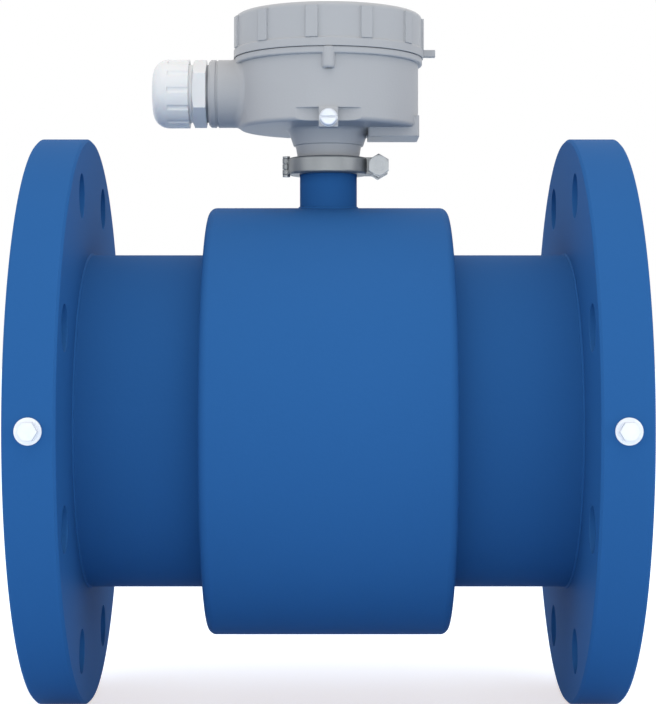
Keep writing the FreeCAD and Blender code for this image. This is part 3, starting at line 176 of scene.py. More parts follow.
def make_group(name, inputs, outputs):
    """A shader node group with float, colour and vector sockets, and its two end nodes."""
    group = bpy.data.node_groups.new(name, "ShaderNodeTree")
    for socket, value in inputs.items():
        kind = "Float"
        if isinstance(value, tuple):
            kind = "Color" if len(value) == 4 else "Vector"
        made = group.interface.new_socket(socket, in_out="INPUT", socket_type="NodeSocket" + kind)
        made.default_value = value
    for socket, kind in outputs.items():
        group.interface.new_socket(socket, in_out="OUTPUT", socket_type="NodeSocket" + kind)
    return group, group.nodes.new("NodeGroupInput"), group.nodes.new("NodeGroupOutput")


def feed(tree, item, socket):
    """Give a socket a link or a plain value."""
    if isinstance(item, bpy.types.NodeSocket):
        tree.links.new(item, socket)
    else:
        socket.default_value = item


def math_node(tree, operation, *items):
    node = add_node(tree, "ShaderNodeMath", operation=operation)
    for item, socket in zip(items, node.inputs):
        feed(tree, item, socket)
    return node.outputs[0]


def own_place(tree):
    """The point on the surface in the piece's own coordinates."""
    return add_node(tree, "ShaderNodeTexCoord").outputs["Object"]


def noise(tree, scale, detail=2.0, place=None):
    """Noise from 0 to 1; scale is a number or a socket."""
    node = add_node(tree, "ShaderNodeTexNoise", Detail=detail)
    tree.links.new(place or own_place(tree), node.inputs["Vector"])
    feed(tree, scale, node.inputs["Scale"])
    return node.outputs["Fac"]


def blend_colours(tree, share, first, second):
    node = add_node(tree, "ShaderNodeMix", data_type="RGBA")
    tree.links.new(share, node.inputs["Factor"])
    feed(tree, first, node.inputs[6])
    feed(tree, second, node.inputs[7])
    return node.outputs[2]


def bump(tree, height, distance, normal):
    node = add_node(tree, "ShaderNodeBump", Strength=1.0)
    tree.links.new(height, node.inputs["Height"])
    feed(tree, distance, node.inputs["Distance"])
    tree.links.new(normal, node.inputs["Normal"])
    return node.outputs[0]


# mottled film: tone and gloss drift slowly, and a fine relief gives orange peel or cast grain
surface_film, start, end = make_group(
    "surface_film",
    {"Colour": WHITE, "Second colour": WHITE, "Drift scale": 9.0, "Roughness": 0.4,
     "Roughness drift": 0.08, "Relief scale": 700.0, "Relief depth": 0.00004,
     "Edge radius": 0.0007},
    {"Colour": "Color", "Roughness": "Float", "Normal": "Vector"})
drift = noise(surface_film, start.outputs["Drift scale"], 3.0)
surface_film.links.new(
    blend_colours(surface_film, drift, start.outputs["Colour"], start.outputs["Second colour"]),
    end.inputs["Colour"])
gloss = math_node(surface_film, "MULTIPLY_ADD", math_node(surface_film, "SUBTRACT", drift, 0.5),
                  start.outputs["Roughness drift"], start.outputs["Roughness"])
surface_film.links.new(gloss, end.inputs["Roughness"])
rounded = add_node(surface_film, "ShaderNodeBevel", samples=BEVEL_RAYS)
surface_film.links.new(start.outputs["Edge radius"], rounded.inputs["Radius"])
surface_film.links.new(
    bump(surface_film, noise(surface_film, start.outputs["Relief scale"]),
         start.outputs["Relief depth"], rounded.outputs[0]),
    end.inputs["Normal"])

# where outer edges are rubbed, and where the blue enamel's edges carry a painted highlight: the
# rounded normal leaves the true one near an edge
edge_wear_and_highlight, start, end = make_group(
    "edge_wear_and_highlight", {"Width": 0.001, "Amount": 0.5, "Patch scale": 60.0}, {"Mask": "Float"})
bevel = add_node(edge_wear_and_highlight, "ShaderNodeBevel", samples=BEVEL_RAYS)
edge_wear_and_highlight.links.new(start.outputs["Width"], bevel.inputs["Radius"])
true_normal = add_node(edge_wear_and_highlight, "ShaderNodeNewGeometry")
likeness = add_node(edge_wear_and_highlight, "ShaderNodeVectorMath", operation="DOT_PRODUCT")
edge_wear_and_highlight.links.new(bevel.outputs[0], likeness.inputs[0])
edge_wear_and_highlight.links.new(true_normal.outputs["Normal"], likeness.inputs[1])
edge = math_node(edge_wear_and_highlight, "SUBTRACT", 1.0, likeness.outputs["Value"])
patches = math_node(
    edge_wear_and_highlight, "MULTIPLY", noise(edge_wear_and_highlight, start.outputs["Patch scale"], 4.0), 6.0)
worn = math_node(edge_wear_and_highlight, "MULTIPLY", math_node(edge_wear_and_highlight, "MULTIPLY", edge, patches),
                 start.outputs["Amount"])
clamped = add_node(edge_wear_and_highlight, "ShaderNodeClamp")
edge_wear_and_highlight.links.new(worn, clamped.inputs["Value"])
edge_wear_and_highlight.links.new(clamped.outputs[0], end.inputs["Mask"])

# dust that has settled on faces that look up
settled_dust, start, end = make_group(
    "settled_dust", {"Amount": 0.2, "Patch scale": 30.0}, {"Mask": "Float"})
facing = add_node(settled_dust, "ShaderNodeNewGeometry")
parts = add_node(settled_dust, "ShaderNodeSeparateXYZ")
settled_dust.links.new(facing.outputs["Normal"], parts.inputs[0])
upward = math_node(settled_dust, "POWER",
                   math_node(settled_dust, "MAXIMUM", parts.outputs["Z"], 0.0), 3.0)
patchy = math_node(
    settled_dust, "ADD", noise(settled_dust, start.outputs["Patch scale"], 3.0), 0.2)
settled_dust.links.new(
    math_node(settled_dust, "MULTIPLY", math_node(settled_dust, "MULTIPLY", upward, patchy),
              start.outputs["Amount"]),
    end.inputs["Mask"])

# rings that a lathe leaves about an axis; Across is 0 along that axis and 1 across it
tool_marks, start, end = make_group(
    "tool_marks",
    {"Centre": (0.0, 0.0, 0.0), "Across": (0.0, 1.0, 1.0), "Lines per metre": 3000.0,
     "Depth": 0.00002, "Normal": (0.0, 0.0, 1.0)},
    {"Line": "Float", "Normal": "Vector"})
offset = add_node(tool_marks, "ShaderNodeVectorMath", operation="SUBTRACT")
tool_marks.links.new(own_place(tool_marks), offset.inputs[0])
tool_marks.links.new(start.outputs["Centre"], offset.inputs[1])
flat_offset = add_node(tool_marks, "ShaderNodeVectorMath", operation="MULTIPLY")
tool_marks.links.new(offset.outputs[0], flat_offset.inputs[0])
tool_marks.links.new(start.outputs["Across"], flat_offset.inputs[1])
distance = add_node(tool_marks, "ShaderNodeVectorMath", operation="LENGTH")
tool_marks.links.new(flat_offset.outputs[0], distance.inputs[0])
lines = add_node(tool_marks, "ShaderNodeTexNoise", noise_dimensions="1D", Detail=2.0, Scale=1.0)
tool_marks.links.new(
    math_node(tool_marks, "MULTIPLY", distance.outputs["Value"], start.outputs["Lines per metre"]),
    lines.inputs["W"])
tool_marks.links.new(lines.outputs["Fac"], end.inputs["Line"])
tool_marks.links.new(
    bump(tool_marks, lines.outputs["Fac"], start.outputs["Depth"], start.outputs["Normal"]),
    end.inputs["Normal"])

# drawn or flowed grain: noise stretched by a vector, long where the vector is small
drawn_grain, start, end = make_group(
    "drawn_grain",
    {"Stretch": (40.0, 900.0, 900.0), "Depth": 0.00002, "Normal": (0.0, 0.0, 1.0)},
    {"Line": "Float", "Normal": "Vector"})
stretched = add_node(drawn_grain, "ShaderNodeVectorMath", operation="MULTIPLY")
drawn_grain.links.new(own_place(drawn_grain), stretched.inputs[0])
drawn_grain.links.new(start.outputs["Stretch"], stretched.inputs[1])
grain = noise(drawn_grain, 1.0, 3.0, stretched.outputs[0])
drawn_grain.links.new(grain, end.inputs["Line"])
drawn_grain.links.new(bump(drawn_grain, grain, start.outputs["Depth"], start.outputs["Normal"]),
                      end.inputs["Normal"])


def finish_material(name, colour, second, film=None, wear_and_highlight=None, wear_and_highlight_colour=None, dust=None,
                    marks=None, grain=None, line_shade=0.0, **shader_values):
    """A Principled material: surface film, tool marks or grain, an edge colour for rubbed edges and
    painted edge highlights, settled dust.
    """
    made = bpy.data.materials.new(name)
    made.use_nodes = True
    tree = made.node_tree
    tree.nodes.clear()
    shader = add_node(tree, "ShaderNodeBsdfPrincipled", **shader_values)
    out = add_node(tree, "ShaderNodeOutputMaterial")
    tree.links.new(shader.outputs[0], out.inputs["Surface"])

    def layer(group, values):
        node = add_node(tree, "ShaderNodeGroup")
        node.node_tree = group
        for socket, value in values.items():
            node.inputs[socket].default_value = value
        return node

    base = layer(surface_film, {
        "Colour": (*colour, 1), "Second colour": (*second, 1), **(film or {})})
    tint, rough, normal = (base.outputs[key] for key in ("Colour", "Roughness", "Normal"))
    for group, values in ((tool_marks, marks), (drawn_grain, grain)):
        if values is None:
            continue
        lines = layer(group, values)
        tree.links.new(normal, lines.inputs["Normal"])
        normal = lines.outputs["Normal"]
        centred = math_node(tree, "SUBTRACT", lines.outputs["Line"], 0.5)
        rough = math_node(tree, "MULTIPLY_ADD", centred, line_shade, rough)
    for group, values, other in ((edge_wear_and_highlight, wear_and_highlight, wear_and_highlight_colour),
                                 (settled_dust, dust, DUST_COLOUR)):
        if values is not None:
            mask = layer(group, values).outputs["Mask"]
            tint = blend_colours(tree, mask, tint, (*other, 1))
    tree.links.new(tint, shader.inputs["Base Color"])
    tree.links.new(rough, shader.inputs["Roughness"])
    tree.links.new(normal, shader.inputs["Normal"])
    return made


def dress(material, *names):
    """Give CAD nodes their material."""
    for name in names:
        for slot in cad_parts[name].material_slots:
            slot.link = "OBJECT"
            slot.material = material


ENAMEL_BLUE = (0.0215, 0.102, 0.290)
ENAMEL_BLUE_LIGHT = (0.0245, 0.112, 0.314)
ENAMEL_FILM = {"Drift scale": 7.0, "Roughness": 0.62, "Roughness drift": 0.10,
               "Relief scale": 520.0, "Relief depth": 0.00005}
ENAMEL_DUST = {"Amount": 0.012, "Patch scale": 25.0}
ENAMEL_GLOSS = {"IOR": 1.15, "Specular_IOR_Level": 0.10}

# the lighter blue at the edges of the tube and flanges is a painted edge highlight, laid in patches
# like wear
blue_enamel = finish_material(
    "blue_enamel", ENAMEL_BLUE, ENAMEL_BLUE_LIGHT, film=ENAMEL_FILM,
    wear_and_highlight={"Width": 0.0012, "Amount": 0.30, "Patch scale": 90.0}, wear_and_highlight_colour=(0.05, 0.17, 0.42),
    dust=ENAMEL_DUST, **ENAMEL_GLOSS)
dress(blue_enamel, "measuring_tube", "inlet_flange", "outlet_flange")


def make_tree(name, inputs):
    """A geometry node tree with named inputs, its two end nodes and a place for its shapes."""
    tree = bpy.data.node_groups.new(name, "GeometryNodeTree")
    tree.interface.new_socket("Geometry", in_out="INPUT", socket_type="NodeSocketGeometry")
    for socket, (kind, value) in inputs.items():
        made = tree.interface.new_socket(socket, in_out="INPUT", socket_type="NodeSocket" + kind)
        if value is not None:
            made.default_value = value
    tree.interface.new_socket("Geometry", in_out="OUTPUT", socket_type="NodeSocketGeometry")
    return tree, tree.nodes.new("NodeGroupInput"), tree.nodes.new("NodeGroupOutput")


def chain(tree, geometry, *nodes):
    """Pass geometry through nodes, each by its first input and output."""
    for node in nodes:
        tree.links.new(geometry, node.inputs[0])
        geometry = node.outputs[0]
    return geometry


def finish_tree(tree, geometry, start, end):
    """Smooth the faces, give them their finish and make them real."""
    smooth = add_node(tree, "GeometryNodeSetShadeSmooth")
    finish = add_node(tree, "GeometryNodeSetMaterial")
    real = add_node(tree, "GeometryNodeRealizeInstances")
    tree.links.new(start.outputs["Finish"], finish.inputs["Material"])
    tree.links.new(chain(tree, geometry, smooth, real, finish), end.inputs[0])


def grow(name, tree, values, body, base=None, place=None):
    """Run a tree on a base mesh, keep the result as a plain mesh and let it ride on a body."""
    piece = bpy.data.objects.new(name, base or bpy.data.meshes.new(name + "_base"))
    scene.collection.objects.link(piece)
    modifier = piece.modifiers.new("shape", "NODES")
    modifier.node_group = tree
    for item in tree.interface.items_tree:
        if item.item_type == "SOCKET" and item.in_out == "INPUT" and item.name in values:
            modifier[item.identifier] = values[item.name]
    graph = bpy.context.evaluated_depsgraph_get()
    mesh = bpy.data.meshes.new_from_object(piece.evaluated_get(graph), depsgraph=graph)
    piece.modifiers.clear()
    mesh.name = name
    if place is not None:
        mesh.transform(place)
    piece.data = mesh
    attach(piece, body)
    return piece


def closed_paths(name, paths):
    """A mesh of closed lines, one through each list of points."""
    points, edges = [], []
    for path in paths:
        first = len(points)
        count = len(path)
        points += path
        edges += [(first + i, first + (i + 1) % count) for i in range(count)]
    mesh = bpy.data.meshes.new(name)
    mesh.from_pydata(points, edges, [])
    return mesh


def ring_about_pipe(x, radius):
    """Points of a circle about the pipe axis."""
    count = round(2 * math.pi * radius * POINTS_PER_METRE)
    turn = 2 * math.pi / count
    return [(x, radius * math.cos(i * turn), radius * math.sin(i * turn)) for i in range(count)]


# a rippled bead along each line of the base mesh
weld_bead, start, end = make_tree("weld_bead", {
    "Bead radius": ("Float", 0.001), "Ripple length": ("Float", 0.002),
    "Ripple depth": ("Float", 0.1), "Finish": ("Material", None)})
step = math_node(weld_bead, "DIVIDE", start.outputs["Ripple length"], POINTS_PER_RIPPLE)
path = add_node(weld_bead, "GeometryNodeMeshToCurve")
resampled = add_node(weld_bead, "GeometryNodeResampleCurve", mode="LENGTH")
weld_bead.links.new(step, resampled.inputs["Length"])
along = add_node(weld_bead, "GeometryNodeSplineParameter")
turns = math_node(weld_bead, "DIVIDE", along.outputs["Length"], start.outputs["Ripple length"])
wave = math_node(weld_bead, "SINE", math_node(weld_bead, "MULTIPLY", turns, 2 * math.pi))
swell = add_node(weld_bead, "GeometryNodeSetCurveRadius")
weld_bead.links.new(
    math_node(weld_bead, "MULTIPLY_ADD", wave, start.outputs["Ripple depth"], 1.0),
    swell.inputs["Radius"])
section = add_node(weld_bead, "GeometryNodeCurvePrimitiveCircle", Resolution=WELD_SIDES)
weld_bead.links.new(start.outputs["Bead radius"], section.inputs["Radius"])
skin = add_node(weld_bead, "GeometryNodeCurveToMesh")
weld_bead.links.new(section.outputs[0], skin.inputs["Profile Curve"])
bead = chain(weld_bead, start.outputs[0], path, resampled, swell, skin)
finish_tree(weld_bead, bead, start, end)

blue_weld = finish_material(
    "blue_weld", ENAMEL_BLUE, ENAMEL_BLUE_LIGHT, film={**ENAMEL_FILM, "Edge radius": 0.0},
    dust=ENAMEL_DUST, **ENAMEL_GLOSS)
weld_values = {"Bead radius": WELD_RADIUS, "Ripple length": WELD_RIPPLE,
               "Ripple depth": WELD_RIPPLE_DEPTH, "Finish": blue_weld}
grow("flange_welds", weld_bead, weld_values, "sensor",
     closed_paths("flange_weld_lines", [ring_about_pipe(x, tube_radius)
                                        for x in (-flange_back, flange_back)]))

# --------------------------------------------------------------------------------------------
# Lining
# Moulded hard rubber sleeve bonded in the tube and turned out over both raised faces, where it
# is faced on a lathe so that the pipe gasket seals on it.
# --------------------------------------------------------------------------------------------

RUBBER_BLACK = (0.020, 0.020, 0.021)
RUBBER_GREY = (0.038, 0.037, 0.036)
ABOUT_X = (0.0, 1.0, 1.0)        # lathe rings about an axis along X

lining_sleeve = finish_material(
    "lining_sleeve", RUBBER_BLACK, RUBBER_GREY,
    film={"Drift scale": 24.0, "Roughness": 0.52, "Roughness drift": 0.20,
          "Relief scale": 900.0, "Relief depth": 0.00003},
    grain={"Stretch": (14.0, 420.0, 420.0), "Depth": 0.00002}, line_shade=0.12,
    wear_and_highlight={"Width": 0.001, "Amount": 0.25, "Patch scale": 120.0}, wear_and_highlight_colour=(0.09, 0.088, 0.085))
lining_face = finish_material(
    "lining_face", RUBBER_BLACK, RUBBER_GREY,
    film={"Drift scale": 30.0, "Roughness": 0.50, "Roughness drift": 0.16,
          "Relief scale": 1200.0, "Relief depth": 0.00002},
    marks={"Across": ABOUT_X, "Lines per metre": 2200.0, "Depth": 0.00008},
    line_shade=0.20,
    wear_and_highlight={"Width": 0.001, "Amount": 0.4, "Patch scale": 150.0}, wear_and_highlight_colour=(0.10, 0.098, 0.094))
dress(lining_sleeve, "liner")
dress(lining_face, "liner_lip_inlet", "liner_lip_outlet")

# --------------------------------------------------------------------------------------------
# Electrodes
# Two turned stainless pins through the lining and the tube, one each side, drawn tight by a nut
# on a fluoroplastic sleeve that keeps them off the steel.
# --------------------------------------------------------------------------------------------

ABOUT_Y = (1.0, 0.0, 1.0)        # lathe rings about an axis along Y

electrode_steel = finish_material(
    "electrode_steel", (0.34, 0.34, 0.33), (0.42, 0.42, 0.41),
    film={"Drift scale": 60.0, "Roughness": 0.26, "Roughness drift": 0.10,
          "Relief scale": 2500.0, "Relief depth": 0.00001, "Edge radius": 0.0003},
    marks={"Across": ABOUT_Y, "Lines per metre": 9000.0, "Depth": 0.000012},
    line_shade=0.25, Metallic=1.0)
sleeve_plastic = finish_material(
    "sleeve_plastic", (0.80, 0.79, 0.74), (0.86, 0.85, 0.81),
    film={"Drift scale": 90.0, "Roughness": 0.38, "Roughness drift": 0.10,
          "Relief scale": 1500.0, "Relief depth": 0.00001, "Edge radius": 0.0003},
    marks={"Across": ABOUT_Y, "Lines per metre": 6000.0, "Depth": 0.00001},
    line_shade=0.10, Subsurface_Weight=0.1, Subsurface_Scale=0.001)
for side in ("front", "back"):
    dress(electrode_steel, "electrode_" + side, "electrode_nut_" + side)
    dress(sleeve_plastic, "electrode_sleeve_" + side)

# --------------------------------------------------------------------------------------------
# Magnet
# Rolled steel pole shoes, cores and return ring, oiled and phosphated, and two coils of enamelled
# copper wire wound in layers round the cores and dipped in varnish.
# --------------------------------------------------------------------------------------------

WIRE_DIAMETER = 0.0006
WIRE_RELIEF = 0.00022

magnet_steel = finish_material(
    "magnet_steel", (0.19, 0.19, 0.20), (0.28, 0.28, 0.28),
    film={"Drift scale": 35.0, "Roughness": 0.42, "Roughness drift": 0.20,
          "Relief scale": 1400.0, "Relief depth": 0.00003},
    grain={"Stretch": (30.0, 700.0, 700.0), "Depth": 0.00002}, line_shade=0.22,
    wear_and_highlight={"Width": 0.0008, "Amount": 0.5, "Patch scale": 110.0}, wear_and_highlight_colour=(0.42, 0.41, 0.40),
    Metallic=0.85)
dress(magnet_steel, "pole_shoe_upper", "pole_shoe_lower", "pole_core_upper", "pole_core_lower",
      "yoke_ring")

coil_winding = finish_material(
    "coil_winding", (0.40, 0.13, 0.045), (0.52, 0.20, 0.07),
    film={"Drift scale": 50.0, "Roughness": 0.30, "Roughness drift": 0.14,
          "Relief scale": 800.0, "Relief depth": 0.00003, "Edge radius": 0.0005},
    Metallic=0.35, Coat_Weight=0.6, Coat_Roughness=0.18)
tree = coil_winding.node_tree
shader = next(node for node in tree.nodes if node.bl_idname == "ShaderNodeBsdfPrincipled")
height = add_node(tree, "ShaderNodeSeparateXYZ")
tree.links.new(own_place(tree), height.inputs[0])
layers = math_node(tree, "MULTIPLY", height.outputs["Z"], 2 * math.pi / WIRE_DIAMETER)
half_turns = math_node(tree, "DIVIDE", layers, 2.0)
round_wire = math_node(tree, "ABSOLUTE", math_node(tree, "SINE", half_turns))
film_normal = shader.inputs["Normal"].links[0].from_socket
tree.links.new(bump(tree, round_wire, WIRE_RELIEF, film_normal), shader.inputs["Normal"])
dress(coil_winding, "coil_upper", "coil_lower")

# --------------------------------------------------------------------------------------------
# Coil housing and neck
# Rolled steel mantle between two pressed end caps, the seams ground flush, welded to the tube and
# with the neck tube welded on top. A rubber plug in the neck holds the sheathed sensor lead.
# --------------------------------------------------------------------------------------------

NECK_RADIUS = 0.0145
NECK_SADDLE_POINTS = 90

drum_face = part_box("housing_end_outlet")[1][0]
drum_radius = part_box("housing_shell")[1][1]

# the ground seams don't show, so this film doesn't round the pieces' own edges
blue_enamel_flush = finish_material(
    "blue_enamel_flush", ENAMEL_BLUE, ENAMEL_BLUE_LIGHT, film={**ENAMEL_FILM, "Edge radius": 0.0},
    dust=ENAMEL_DUST, **ENAMEL_GLOSS)
dress(blue_enamel_flush, "housing_shell", "housing_end_inlet", "housing_end_outlet", "neck_tube")

saddle = []
for i in range(NECK_SADDLE_POINTS):
    turn = 2 * math.pi * i / NECK_SADDLE_POINTS
    x, y = NECK_RADIUS * math.cos(turn), NECK_RADIUS * math.sin(turn)
    saddle.append((x, y, math.sqrt(drum_radius ** 2 - y ** 2)))
grow("housing_welds", weld_bead, weld_values, "sensor",
     closed_paths("housing_weld_lines", [ring_about_pipe(x, tube_radius)
                                         for x in (-drum_face, drum_face)] + [saddle]))

black_rubber = finish_material(
    "black_rubber", RUBBER_BLACK, RUBBER_GREY,
    film={"Drift scale": 120.0, "Roughness": 0.60, "Roughness drift": 0.18,
          "Relief scale": 1600.0, "Relief depth": 0.00003, "Edge radius": 0.0004},
    wear_and_highlight={"Width": 0.0006, "Amount": 0.3, "Patch scale": 200.0}, wear_and_highlight_colour=(0.10, 0.10, 0.10),
    dust={"Amount": 0.25, "Patch scale": 80.0})
dress(black_rubber, "neck_gasket", "neck_grommet")
lead_sheath = finish_material(
    "lead_sheath", (0.060, 0.060, 0.064), (0.085, 0.085, 0.088),
    film={"Drift scale": 70.0, "Roughness": 0.50, "Roughness drift": 0.12,
          "Relief scale": 1500.0, "Relief depth": 0.00002},
    grain={"Stretch": (900.0, 900.0, 30.0), "Depth": 0.00003}, line_shade=0.15)
dress(lead_sheath, "sensor_lead")

# --------------------------------------------------------------------------------------------
# Clamp
# Two investment-cast stainless halves with a V groove, hinged on a riveted pin and drawn together
# by one M6 bolt, so that they pull the head's ferrule down on the neck's.
# --------------------------------------------------------------------------------------------

CLAMP_RING_CENTRE = (0.0259, 0.0, 0.12925)      # half a millimetre outside the bolt's axis
CLAMP_BOLT_RADIUS = 0.003
CLAMP_THREAD_PITCH = 0.001
CLAMP_THREAD_END = 0.0019        # what stands out of the nut
CLAMP_THREAD_CREST = 0.00012
CLAMP_THREAD_RIDGE = 0.0004
THREAD_SIDES = 6
THREAD_FADE_TURNS = 0.25

clamp_steel = finish_material(
    "clamp_steel", (0.24, 0.25, 0.255), (0.31, 0.32, 0.32),
    film={"Drift scale": 80.0, "Roughness": 0.44, "Roughness drift": 0.16,
          "Relief scale": 2600.0, "Relief depth": 0.00004, "Edge radius": 0.0005},
    wear_and_highlight={"Width": 0.0006, "Amount": 0.7, "Patch scale": 240.0}, wear_and_highlight_colour=(0.62, 0.61, 0.58),
    Metallic=0.75)
dress(clamp_steel, "clamp_front_half", "clamp_rear_half")
clamp_screw_steel = finish_material(
    "clamp_screw_steel", (0.27, 0.285, 0.30), (0.36, 0.375, 0.385),
    film={"Drift scale": 150.0, "Roughness": 0.34, "Roughness drift": 0.16,
          "Relief scale": 2600.0, "Relief depth": 0.00002, "Edge radius": 0.0004},
    marks={"Centre": CLAMP_RING_CENTRE, "Across": ABOUT_Y,
           "Lines per metre": 5000.0, "Depth": 0.00002}, line_shade=0.25,
    wear_and_highlight={"Width": 0.0006, "Amount": 0.6, "Patch scale": 260.0}, wear_and_highlight_colour=(0.68, 0.67, 0.65),
    Metallic=0.85)
dress(clamp_screw_steel, "clamp_bolt", "clamp_nut", "clamp_hinge_pin")

# a right-hand thread about +Z from z = 0: a ridge on a helix that fades in and out
screw_thread, start, end = make_tree("screw_thread", {
    "Root radius": ("Float", 0.003), "Pitch": ("Float", 0.001), "Length": ("Float", 0.002),
    "Crest": ("Float", 0.0002), "Ridge": ("Float", 0.0004), "Steps": ("Int", 48),
    "Finish": ("Material", None)})
helix = add_node(screw_thread, "GeometryNodeCurveSpiral", Reverse=True)
rotations = math_node(screw_thread, "DIVIDE", start.outputs["Length"], start.outputs["Pitch"])
centre_radius = math_node(
    screw_thread, "SUBTRACT",
    math_node(screw_thread, "ADD", start.outputs["Root radius"], start.outputs["Crest"]),
    start.outputs["Ridge"])
screw_thread.links.new(start.outputs["Steps"], helix.inputs["Resolution"])
screw_thread.links.new(rotations, helix.inputs["Rotations"])
for name in ("Start Radius", "End Radius"):
    screw_thread.links.new(centre_radius, helix.inputs[name])
screw_thread.links.new(start.outputs["Length"], helix.inputs["Height"])
along = add_node(screw_thread, "GeometryNodeSplineParameter")
fade_in = math_node(screw_thread, "MULTIPLY", along.outputs["Factor"], rotations)
fade_out = math_node(screw_thread, "SUBTRACT", rotations, fade_in)
nearer_end = math_node(screw_thread, "MINIMUM", fade_in, fade_out)
fade = math_node(screw_thread, "MINIMUM", nearer_end, THREAD_FADE_TURNS)
taper = add_node(screw_thread, "GeometryNodeSetCurveRadius")
screw_thread.links.new(math_node(screw_thread, "MULTIPLY", fade, 1 / THREAD_FADE_TURNS),
                       taper.inputs["Radius"])
ridge = add_node(screw_thread, "GeometryNodeCurvePrimitiveCircle", Resolution=THREAD_SIDES)
screw_thread.links.new(start.outputs["Ridge"], ridge.inputs["Radius"])
flank = add_node(screw_thread, "GeometryNodeCurveToMesh")
screw_thread.links.new(ridge.outputs[0], flank.inputs["Profile Curve"])
thread = chain(screw_thread, helix.outputs[0], taper, flank)
finish_tree(screw_thread, thread, start, end)


def middle_of(node):
    """The middle of a CAD node's box."""
    low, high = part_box(node)
    return tuple((a + b) / 2 for a, b in zip(low, high))


bolt_x, _, bolt_z = middle_of("clamp_bolt")
bolt_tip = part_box("clamp_bolt")[1][1]
grow("clamp_bolt_thread", screw_thread,
     {"Root radius": CLAMP_BOLT_RADIUS, "Pitch": CLAMP_THREAD_PITCH, "Length": CLAMP_THREAD_END,
      "Crest": CLAMP_THREAD_CREST, "Ridge": CLAMP_THREAD_RIDGE, "Steps": 40,
      "Finish": clamp_screw_steel},
     "sensor",
     place=Matrix.Translation((bolt_x, bolt_tip, bolt_z))
     @ Matrix.Rotation(math.radians(90), 4, "X"))

# --------------------------------------------------------------------------------------------
# Ground screws
# Bright zinc-plated steel with a bluish passivation. One with a plain washer stands on the rim of
# each flange, one on the front boss of the junction box and one inside it.
# --------------------------------------------------------------------------------------------

ZINC = (0.74, 0.75, 0.77)
ZINC_BLUE = (0.66, 0.70, 0.78)
ABOUT_Z = (1.0, 1.0, 0.0)        # lathe rings about an upright axis


def zinc_plate(name, screw, across):
    """Zinc with the lathe's rings about one screw's own axis."""
    return finish_material(
        name, ZINC, ZINC_BLUE,
        film={"Drift scale": 260.0, "Roughness": 0.42, "Roughness drift": 0.20,
              "Relief scale": 3000.0, "Relief depth": 0.00001, "Edge radius": 0.0004},
        marks={"Centre": middle_of(screw), "Across": across, "Lines per metre": 6000.0,
               "Depth": 0.000012},
        line_shade=0.20,
        wear_and_highlight={"Width": 0.0005, "Amount": 0.4, "Patch scale": 300.0}, wear_and_highlight_colour=(0.82, 0.82, 0.82),
        Metallic=0.35)


for side in ("inlet", "outlet"):
    dress(zinc_plate("zinc_" + side, "ground_screw_" + side, ABOUT_Y),
          "ground_screw_" + side, "ground_washer_" + side)
dress(zinc_plate("zinc_case", "case_ground_screw", ABOUT_Y),
      "case_ground_screw", "case_ground_washer")
dress(zinc_plate("zinc_inner_ground_screw", "inner_ground_screw", ABOUT_Z),
      "inner_ground_screw")

# --------------------------------------------------------------------------------------------
# Junction box
# Die-cast aluminium pot with its stub, conduit entry, square side pad and lock boss in one
# casting, powder-coated light grey. Its spigot carries the screw thread for the cover.
# --------------------------------------------------------------------------------------------

RIM_TOP = 0.1837
SPIGOT_RADIUS = 0.0435
COVER_PITCH = 0.002
COVER_THREAD_START = 0.0052      # above the rim, clear of the sealing groove
COVER_THREAD_LENGTH = 0.0076
COVER_THREAD_CREST = 0.00022
COVER_THREAD_RIDGE = 0.0007

grey_powder = finish_material(
    "grey_powder", (0.400, 0.400, 0.412), (0.430, 0.430, 0.440),
    film={"Drift scale": 14.0, "Roughness": 0.42, "Roughness drift": 0.12,
          "Relief scale": 950.0, "Relief depth": 0.00006, "Edge radius": 0.0008},
    wear_and_highlight={"Width": 0.0010, "Amount": 0.35, "Patch scale": 130.0}, wear_and_highlight_colour=(0.56, 0.58, 0.61),
    dust={"Amount": 0.10, "Patch scale": 35.0}, Specular_IOR_Level=0.15)
dress(grey_powder, "box_body")

grow("spigot_thread", screw_thread,
     {"Root radius": SPIGOT_RADIUS, "Pitch": COVER_PITCH, "Length": COVER_THREAD_LENGTH,
      "Crest": COVER_THREAD_CREST, "Ridge": COVER_THREAD_RIDGE, "Steps": 96, "Finish": grey_powder},
     "junction_head",
     place=Matrix.Translation((0, 0, RIM_TOP + COVER_THREAD_START)))

# --------------------------------------------------------------------------------------------
# Terminals
# Dark glass-filled plastic block with a brass clamping screw in each way, held by two screws on
# standoffs in the box.
# --------------------------------------------------------------------------------------------

terminal_plastic = finish_material(
    "terminal_plastic", (0.055, 0.062, 0.068), (0.075, 0.082, 0.088),
    film={"Drift scale": 60.0, "Roughness": 0.48, "Roughness drift": 0.10,
          "Relief scale": 2200.0, "Relief depth": 0.00003, "Edge radius": 0.0003},
    grain={"Stretch": (60.0, 900.0, 900.0), "Depth": 0.00001}, line_shade=0.10,
    wear_and_highlight={"Width": 0.0004, "Amount": 0.3, "Patch scale": 260.0}, wear_and_highlight_colour=(0.16, 0.17, 0.18))
dress(terminal_plastic, "terminal_block")
for number in range(1, 6):
    screw = f"terminal_screw_{number}"
    brass = finish_material(
        f"terminal_brass_{number}", (0.62, 0.45, 0.17), (0.72, 0.56, 0.26),
        film={"Drift scale": 300.0, "Roughness": 0.28, "Roughness drift": 0.20,
              "Relief scale": 3200.0, "Relief depth": 0.00001, "Edge radius": 0.0002},
        marks={"Centre": middle_of(screw), "Across": ABOUT_Z, "Lines per metre": 9000.0,
               "Depth": 0.00001}, line_shade=0.25,
        wear_and_highlight={"Width": 0.0003, "Amount": 0.5, "Patch scale": 500.0}, wear_and_highlight_colour=(0.85, 0.72, 0.42),
        Metallic=1.0)
    dress(brass, screw)
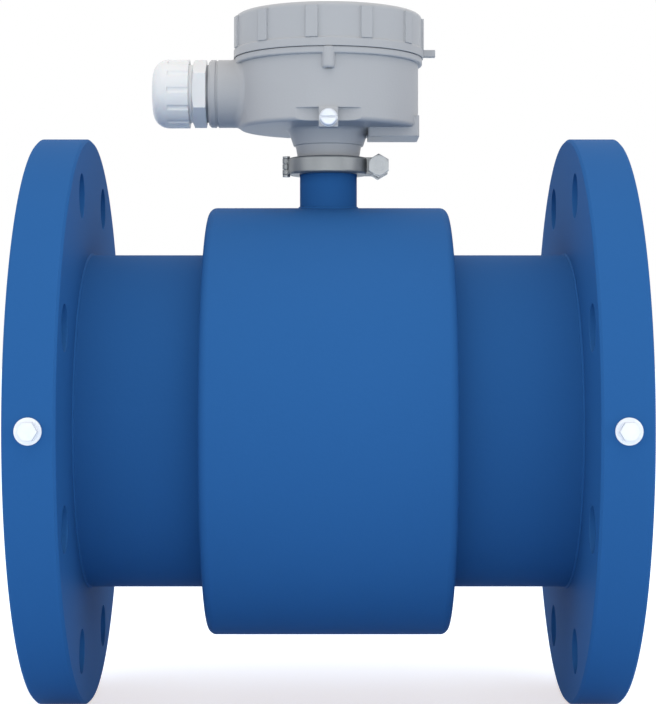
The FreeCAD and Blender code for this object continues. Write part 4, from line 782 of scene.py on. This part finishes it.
for screw in ("terminal_fixing_screw_1", "terminal_fixing_screw_2"):
    dress(zinc_plate("zinc_" + screw, screw, ABOUT_Z), screw)

# --------------------------------------------------------------------------------------------
# Cable gland
# White polyamide body screwed into the conduit entry on a flat washer, with a rubber bush that
# the fluted dome nut squeezes on the cable.
# --------------------------------------------------------------------------------------------

GLAND_PITCH = 0.0015
GLAND_THREAD_ROOT = 0.0146
GLAND_THREAD_LENGTH = 0.0105
GLAND_THREAD_CREST = 0.00022
GLAND_THREAD_RIDGE = 0.0005
NUT_TO_SHOULDER = 0.0017         # from the tight nut to the gland's hexagon
THREAD_TO_SHOULDER = 0.0004

white_polyamide = finish_material(
    "white_polyamide", (0.69, 0.685, 0.685), (0.73, 0.725, 0.725),
    film={"Drift scale": 40.0, "Roughness": 0.40, "Roughness drift": 0.12,
          "Relief scale": 1800.0, "Relief depth": 0.00003, "Edge radius": 0.0006},
    wear_and_highlight={"Width": 0.0006, "Amount": 0.2, "Patch scale": 200.0}, wear_and_highlight_colour=(0.80, 0.80, 0.80),
    dust={"Amount": 0.08, "Patch scale": 60.0},
    Subsurface_Weight=0.08, Subsurface_Scale=0.001)
dress(white_polyamide, "gland_body", "gland_nut")
grey_rubber = finish_material(
    "grey_rubber", (0.20, 0.21, 0.225), (0.25, 0.26, 0.275),
    film={"Drift scale": 150.0, "Roughness": 0.60, "Roughness drift": 0.14,
          "Relief scale": 1600.0, "Relief depth": 0.00002, "Edge radius": 0.0003})
dress(grey_rubber, "gland_washer")
dress(black_rubber, "gland_bush")

gland_height = middle_of("gland_nut")[2]
gland_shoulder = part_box("gland_nut")[1][0] + NUT_TO_SHOULDER
grow("gland_thread", screw_thread,
     {"Root radius": GLAND_THREAD_ROOT, "Pitch": GLAND_PITCH, "Length": GLAND_THREAD_LENGTH,
      "Crest": GLAND_THREAD_CREST, "Ridge": GLAND_THREAD_RIDGE, "Steps": 64,
      "Finish": white_polyamide},
     "junction_head",
     place=Matrix.Translation((gland_shoulder - THREAD_TO_SHOULDER, 0, gland_height))
     @ Matrix.Rotation(math.radians(-90), 4, "Y"))

# --------------------------------------------------------------------------------------------
# Cover
# Die-cast screw cap of the same finish with ribs for grip and a lug for a sealing wire. A rubber
# ring seals it on the spigot, and a grub screw in the lock boss keeps it from turning.
# --------------------------------------------------------------------------------------------

dress(grey_powder, "box_cover")
dress(black_rubber, "cover_seal")
dark_screw = finish_material(
    "dark_screw", (0.17, 0.17, 0.18), (0.24, 0.24, 0.25),
    film={"Drift scale": 300.0, "Roughness": 0.42, "Roughness drift": 0.15,
          "Relief scale": 3000.0, "Relief depth": 0.00001, "Edge radius": 0.0002},
    Metallic=0.8)
dress(dark_screw, "cover_lock_screw")
